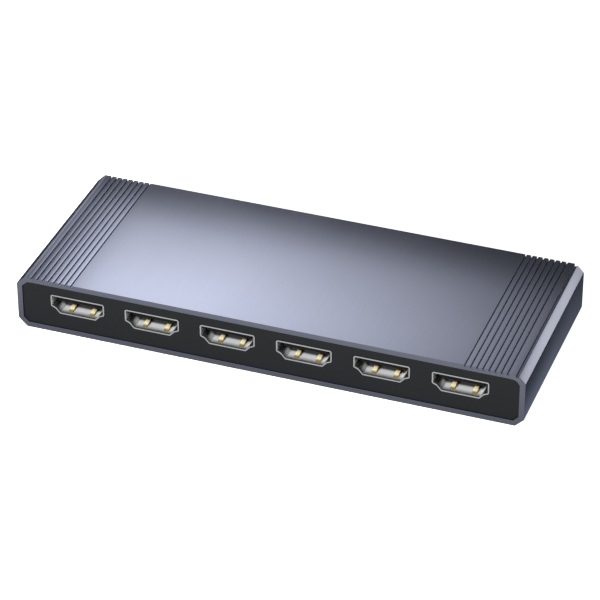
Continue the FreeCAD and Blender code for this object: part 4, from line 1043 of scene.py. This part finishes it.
class HDMISWITCH_OT_power_shell(bpy.types.Operator):
    """Makes the drawn shell of the power socket"""
    bl_idname = "hdmi_switch.power_shell"
    bl_label = "Power socket shell"

    def execute(self, context):
        node = "power_socket_shell"
        low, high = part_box(node)
        half = np.array([(high.x - low.x) / 2, high.z - CONTROL_AXIS])
        centre = on_axis(node)
        lip, sheet, corner = 0.1 * MM, 0.3 * MM, 1.5 * MM
        leg_width, leg_round = 0.9 * MM, 0.06 * MM
        front_leg, back_leg = 2.6 * MM, 5.6 * MM
        leg_places = (high.y - front_leg, high.y - back_leg)
        skin = open_shell(lambda inwards: centred_box(centre, half - inwards, corner - inwards), sheet, lip,
                          high.y, low.y)
        legs = shell_legs(node, sheet, leg_places, leg_width, CONTROL_AXIS, leg_round)
        steel = plated_metal("power shell steel")
        add_piece("power_shell", node, "shell_steel", (joined(skin, *legs), steel))
        return {"FINISHED"}


class HDMISWITCH_OT_button(bpy.types.Operator):
    """Makes the round select button with its dished face, flange and stem"""
    bl_idname = "hdmi_switch.button"
    bl_label = "Select button"

    def execute(self, context):
        cap = settings("control").button_radius
        stem, stem_length, blend = 1.1 * MM, 0.6 * MM, 0.1 * MM
        edge, dish = 0.4 * MM, 0.2 * MM
        flange_back = BUTTON_LOW.y + stem_length
        rings = 12
        draw_in, along = roll_over(edge, steps=6)
        dish_radii = np.linspace(cap - edge - blend, 0.0, rings)
        dish_depths = BUTTON_HIGH.y - dish * (1 - (dish_radii / (cap - edge)) ** 2)
        surface = flanged_pin("select_button", stem, cap, blend, flange_back,
                              [*(cap - draw_in[::-1]), *dish_radii],
                              [*(BUTTON_HIGH.y - along[::-1]), *dish_depths], sides=72)
        add_piece("button", "select_button", "button_plastic", (surface, moulded_plastic("button plastic")),
                  body=BUTTON)
        return {"FINISHED"}


class HDMISWITCH_OT_push_switch(bpy.types.Operator):
    """Makes the snap dome behind the button and dresses the rest of the push switch"""
    bl_idname = "hdmi_switch.push_switch"
    bl_label = "Push switch"

    def execute(self, context):
        steel = plated_metal("switch steel")
        self.dome(settings("control"), steel)
        dress(steel, "push_switch_cover", "crystal")
        dress(moulded_plastic("plunger plastic"), "push_switch_plunger")
        return {"FINISHED"}

    def dome(self, values, steel):
        """A cap of a sphere in thin sheet.

        The sphere's radius is half the rim's radius squared plus the rise squared, over the rise.
        """
        node = "push_switch_dome"
        low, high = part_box(node)
        centre_x, _, centre_z = middle(node)
        rise, rim = high.y - low.y, (high.x - low.x) / 2
        rings, spare_travel = 12, 1.02
        radius = (rim ** 2 + rise ** 2) / (2 * rise)
        inner_radius = radius - values.dome_sheet
        outer = np.linspace(0, math.acos((radius - rise) / radius), rings)
        inner = np.linspace(math.acos((radius - rise) / inner_radius), 0, rings)
        radii = np.concatenate([radius * np.sin(outer), inner_radius * np.sin(inner)])
        heights = np.concatenate([radius * np.cos(outer), inner_radius * np.cos(inner)])
        surface = turned(radii, high.y - radius + heights, (centre_x, centre_z), "Y", sides=40)
        dome = add_piece("snap_dome", node, "switch_steel", (surface, steel))
        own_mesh(dome)


class HDMISWITCH_OT_lights(bpy.types.Operator):
    """Makes the domed light pipes and dresses the lamps behind them"""
    bl_idname = "hdmi_switch.lights"
    bl_label = "Status lights"

    def execute(self, context):
        values = settings("control")
        clear = clear_plastic("clear plastic", (0.86, 0.9, 0.93), transmission=0.75, roughness=0.12)
        pipe, flange_thickness = values.pipe_radius, 0.5 * MM
        blend, dome = 0.05 * MM, 0.35 * MM
        flange_back = BUTTON_LOW.y + values.flange_front - flange_thickness
        rings = 8
        rise = np.linspace(0, np.pi / 2, rings)
        for number in LIGHTS:
            node = f"light_pipe_{number}"
            tip_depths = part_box(node)[1].y - dome * (1 - np.sin(rise))
            surface = flanged_pin(node, pipe, pipe, blend, flange_back, pipe * np.cos(rise), tip_depths,
                                  sides=40)
            add_piece(f"light_dome_{number}", node, "clear_plastic", (surface, clear))
        dress(moulded_plastic("lamp package"), "status_leds")
        return {"FINISHED"}


class HDMISWITCH_OT_infrared(bpy.types.Operator):
    """Makes the dark red window and dresses the receiver behind it"""
    bl_idname = "hdmi_switch.infrared"
    bl_label = "Infrared window"

    def execute(self, context):
        values = settings("control")
        node = "infrared_window"
        low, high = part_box(node)
        centre = on_axis(node)
        half, corner = np.array([values.window_width, values.window_height]), values.window_corner
        edge, overlap = 0.25 * MM, 0.1 * MM
        flange_thickness, flange_round = 0.6 * MM, 0.1 * MM
        flange_front = low.y + flange_thickness
        draw_in, along = roll_over(edge, steps=5)
        loops = [at_y(centred_box(centre, half, corner), flange_front - overlap)]
        for inwards, ahead in zip(draw_in[::-1], along[::-1]):
            loops.append(at_y(centred_box(centre, half - inwards, corner - inwards), high.y - ahead))
        flange = rounded_bar((low.x, low.y, low.z), (high.x, flange_front, high.z), flange_round)
        red = clear_plastic("infrared plastic", (0.035, 0.004, 0.006), transmission=0.25, roughness=0.08)
        add_piece("infrared_lens", node, "infrared_plastic", (joined(closed_tube(loops), flange), red))
        dress(moulded_plastic("receiver epoxy"), "infrared_receiver")
        return {"FINISHED"}


class HDMISWITCH_OT_board(bpy.types.Operator):
    """Dresses the circuit board and everything soldered to it"""
    bl_idname = "hdmi_switch.board"
    bl_label = "Board and electronics"

    def execute(self, context):
        dress(solder_mask(), "circuit_board")
        dress(plated_metal("can aluminium"), "bulk_capacitors")
        for node in ("switch_chip", "control_chip", "voltage_regulator", "memory_chips"):
            dress(leaded_chip(node, four_sided=node == "switch_chip"), node)
        for name, node in (("array epoxy", "surge_arrays"), ("ferrite", "power_inductor"),
                           ("capacitor ceramic", "chip_capacitors"), ("resistor glaze", "chip_resistors")):
            dress(moulded_plastic(name), node)
        return {"FINISHED"}


class HDMISWITCH_OT_feet(bpy.types.Operator):
    """Makes the rubber feet and dresses the screws above them"""
    bl_idname = "hdmi_switch.feet"
    bl_label = "Feet and screws"

    def execute(self, context):
        skin = rubber()
        edge, blend = 0.35 * MM, 0.05 * MM
        ripple_pitch, ripple_depth, ripple_border = 0.7 * MM, 0.06 * MM, 0.6 * MM
        rings = 60
        draw_in, along = roll_over(edge, steps=6)
        for number in FEET:
            node = f"rubber_foot_{number}"
            low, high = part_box(node)
            radius = (high.x - low.x) / 2
            ring = np.linspace(0.0, radius - edge, rings)
            wave = (1 - np.cos(2 * np.pi * ring / ripple_pitch)) / 2
            ripple = ripple_depth * wave * (ring < radius - ripple_border)
            radii = [*ring, *(radius - draw_in), radius, radius - blend, 0.0]
            heights = [*(low.z + ripple), *(low.z + along[::-1])[::-1], high.z - blend, high.z, high.z]
            surface = turned(radii, heights, middle(node)[:2], "Z", sides=48)
            add_piece(f"foot_{number}", node, "foot_rubber", (surface, skin))
        dress(plated_metal("screw steel"), "housing_screws")
        return {"FINISHED"}


class HDMISWITCH_OT_stage(bpy.types.Operator):
    """Makes the pale floor, the soft lights and the camera"""
    bl_idname = "hdmi_switch.stage"
    bl_label = "Stage"

    def execute(self, context):
        values = settings("stage")
        self.floor(values)
        self.top_card(values)
        self.side_card()
        self.front_card()
        self.surroundings()
        self.front_key(values)
        self.camera(values)
        context.scene.view_settings.view_transform = "Standard"
        context.scene.view_settings.look = "None"
        return {"FINISHED"}

    def sheet(self, name, low, high, z, material):
        """A flat rectangle that belongs to the studio."""
        points = [(low[0], low[1], z), (high[0], low[1], z), (high[0], high[1], z), (low[0], high[1], z)]
        mesh = bpy.data.meshes.new(name)
        mesh.from_pydata(points, [], [(0, 1, 2, 3)])
        mesh.materials.append(material)
        sheet = bpy.data.objects.new(name, mesh)
        bpy.context.scene.collection.objects.link(sheet)
        return sheet

    def floor(self, values):
        """A pale floor that gives off light and isn't mirrored."""
        half = values.floor_size / 2
        material, _, inputs = start_material("floor", 0.0, 0.8, tuple(values.floor_color))
        inputs["Emission Color"].default_value = (1.0, 1.0, 1.0, 1.0)
        inputs["Emission Strength"].default_value = values.floor_glow
        floor = self.sheet("floor", (-half, -half), (half, half), 0.0, material)
        floor.visible_glossy = False
        floor.visible_diffuse = False

    def card(self, name, tint, glow, low, high, z):
        """A glowing sheet that only shiny surfaces see; `glow` makes its strength in its tree and place."""
        material = bpy.data.materials.new(name)
        material.use_nodes = True
        tree = material.node_tree
        tree.nodes.clear()
        strength = glow(tree, object_place(tree))
        light = add_node(tree, "Emission", {"Color": (*tint, 1.0), "Strength": strength})
        result = tree.nodes.new("ShaderNodeOutputMaterial")
        tree.links.new(light, result.inputs["Surface"])
        card = self.sheet(name, low, high, z, material)
        card.visible_camera = False
        card.visible_diffuse = False
        card.visible_transmission = False
        card.visible_shadow = False

    def top_card(self, values):
        """A glowing card above and behind the object, bright to the front and left, that the top mirrors.

        The mirrored line of sight leans back by 1.42 of its height and to the left by 0.51, so that a point
        of the card lights the point of the top face that lies so far in front of it and to its right.
        """
        lean = np.array([-0.511, 1.423])
        shift = lean * values.card_height
        left, bright_left, bright_right, right = -71.5 * MM, -55.5 * MM, -19 * MM, 100 * MM
        front, slope_start, slope_end = -62 * MM, -30 * MM, 2 * MM
        fall_start, back, margin = 12 * MM, 37 * MM, 10 * MM
        left_slant, back_slant, slope_share = 0.12, 0.04, 0.75

        def glow(tree, place):
            along = math_node(tree, "SUBTRACT", place["X"], shift[0])
            across = math_node(tree, "SUBTRACT", place["Y"], shift[1])
            from_left = math_node(tree, "MULTIPLY_ADD", across, left_slant, along)
            from_back = math_node(tree, "MULTIPLY_ADD", along, back_slant, across)
            strength = values.card_light
            for fading in (ramp(tree, along, right, bright_right, 0.0, 1.0),
                           smooth_step(tree, from_left, left, bright_left),
                           ramp(tree, across, slope_start, slope_end, 1.0, slope_share),
                           smooth_step(tree, from_back, back, fall_start)):
                strength = math_node(tree, "MULTIPLY", strength, fading)
            return strength

        self.card("top card", (1.0, 0.99, 0.975), glow, shift + np.array([left - margin, front]),
                  shift + np.array([right, back + margin / 2]), SLEEVE_HIGH.z + values.card_height)

    def side_card(self):
        """A faint glow on the floor beside the right end, for the end face to mirror."""
        near, far, lift = 2.5 * MM, 8 * MM, 0.05 * MM
        fade_start, fade_end, width, depth = -11 * MM, 50 * MM, 100 * MM, 200 * MM
        least, more, back_share = 0.06, 0.24, 0.35

        def glow(tree, place):
            away = math_node(tree, "SUBTRACT", place["X"], SLEEVE_HIGH.x)
            rise = smooth_step(tree, away, far, near)
            fading = ramp(tree, place["Y"], fade_start, fade_end, 1.0, back_share)
            return math_node(tree, "MULTIPLY", math_node(tree, "MULTIPLY_ADD", rise, more, least), fading)

        self.card("side card", (0.86, 0.96, 1.15), glow, (SLEEVE_HIGH.x, SLEEVE_LOW.y),
                  (SLEEVE_HIGH.x + width, SLEEVE_HIGH.y + depth), lift)

    def front_card(self):
        """A faint glow on the floor in front, dimmer close by, for the rim and the panel to mirror."""
        full, lift = 26 * MM, 0.05 * MM
        left, right, depth = 60 * MM, 30 * MM, 80 * MM

        def glow(tree, place):
            away = math_node(tree, "SUBTRACT", SLEEVE_LOW.y, place["Y"])
            return ramp(tree, away, 0.0, full, to_low=0.33, to_high=0.62)

        self.card("front card", (1.0, 0.98, 0.94), glow, (SLEEVE_LOW.x - left, SLEEVE_LOW.y - depth),
                  (SLEEVE_HIGH.x + right, SLEEVE_LOW.y), lift)

    def surroundings(self):
        """A dim studio with soft glows, each about one direction: a smooth rise of the dot product.

        Each row gives a glow's direction, the dot products where it starts and where it is full, and its
        strength. The first one, which the right upper chamfer mirrors, is warmer than the rest.
        """
        glows = (
            ((0.59, 0.785, 0.185), 0.94, 0.985, 1.95),
            ((-0.28, -0.78, -0.55), 0.1, 0.85, 0.48),
            ((0.5, 0.5, -0.7), 0.3, 0.9, 0.12),
            ((0.1, -0.6, 0.8), 0.5, 0.95, 0.4),
        )
        cool, warm = (0.96, 0.985, 1.0), (1.0, 0.96, 0.88)
        dim = 0.06
        world = bpy.data.worlds.new("studio")
        bpy.context.scene.world = world
        world.use_nodes = True
        tree = world.node_tree
        background = tree.nodes["Background"].inputs
        place = add_node(tree, "TexCoord", {}, "Generated")
        nears = []
        total = dim
        for direction, start, full, strength in glows:
            towards = Vector(direction).normalized()
            dot = add_node(tree, "VectorMath", {0: place, 1: towards}, "Value", operation="DOT_PRODUCT")
            nears.append(smooth_step(tree, dot, start, full))
            total = math_node(tree, "MULTIPLY_ADD", nears[-1], strength, total)
        tree.links.new(total, background["Strength"])
        tree.links.new(mixed(tree, nears[0], cool, warm), background["Color"])

    def front_key(self, values):
        """A large soft light in front of the sockets, which the camera doesn't see."""
        place, aim = Vector((-0.24, -0.915, 0.345)), Vector((0.0, 0.0, 0.01))
        width = 0.35
        data = bpy.data.lights.new("front key", "AREA")
        data.size = width
        data.energy = values.key_power
        light = bpy.data.objects.new("front key", data)
        light.location = place
        light.rotation_euler = (aim - place).to_track_quat("-Z", "Y").to_euler()
        light.visible_camera = False
        light.visible_glossy = False
        bpy.context.scene.collection.objects.link(light)

    def camera(self, values):
        """A camera that looks at its aim, turned round it, raised above it and tilted by its roll."""
        turn = Matrix.Rotation(values.azimuth, 4, "Z")
        rise = Matrix.Rotation(math.pi / 2 - values.elevation, 4, "X")
        roll = Matrix.Rotation(values.roll, 4, "Z")
        away = Matrix.Translation((0.0, 0.0, values.distance))
        data = bpy.data.cameras.new("camera")
        data.lens = values.lens
        data.clip_start = 50 * MM
        camera = bpy.data.objects.new("camera", data)
        camera.matrix_world = Matrix.Translation(values.aim) @ turn @ rise @ roll @ away
        bpy.context.scene.collection.objects.link(camera)
        bpy.context.scene.camera = camera


OPERATORS = (
    HDMISWITCH_OT_stage,
    HDMISWITCH_OT_sleeve,
    HDMISWITCH_OT_panels,
    HDMISWITCH_OT_hdmi_shells,
    HDMISWITCH_OT_hdmi_cores,
    HDMISWITCH_OT_power_shell,
    HDMISWITCH_OT_button,
    HDMISWITCH_OT_push_switch,
    HDMISWITCH_OT_lights,
    HDMISWITCH_OT_infrared,
    HDMISWITCH_OT_board,
    HDMISWITCH_OT_feet,
)
SETTINGS = {"sleeve": SleeveSettings, "panel": PanelSettings, "socket": SocketSettings,
            "control": ControlSettings, "stage": StageSettings}


class HDMISWITCH_PT_panel(bpy.types.Panel):
    """Lists what the add-on makes"""
    bl_idname = "HDMISWITCH_PT_panel"
    bl_label = "HDMI Switch"
    bl_space_type = "VIEW_3D"
    bl_region_type = "UI"
    bl_category = "HDMI Switch"

    def draw(self, context):
        for operator in OPERATORS:
            self.layout.operator(operator.bl_idname)


def register():
    for group, kind in SETTINGS.items():
        bpy.utils.register_class(kind)
        setattr(bpy.types.Scene, "hdmi_switch_" + group, PointerProperty(type=kind))
    for kind in (*OPERATORS, HDMISWITCH_PT_panel):
        bpy.utils.register_class(kind)


def unregister():
    for kind in (HDMISWITCH_PT_panel, *reversed(OPERATORS)):
        bpy.utils.unregister_class(kind)
    for group, kind in SETTINGS.items():
        delattr(bpy.types.Scene, "hdmi_switch_" + group)
        bpy.utils.unregister_class(kind)


def main():
    register()
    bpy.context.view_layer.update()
    for operator in OPERATORS:
        getattr(bpy.ops.hdmi_switch, operator.bl_idname.split(".")[1])()


if __name__ == "__main__":
    main()
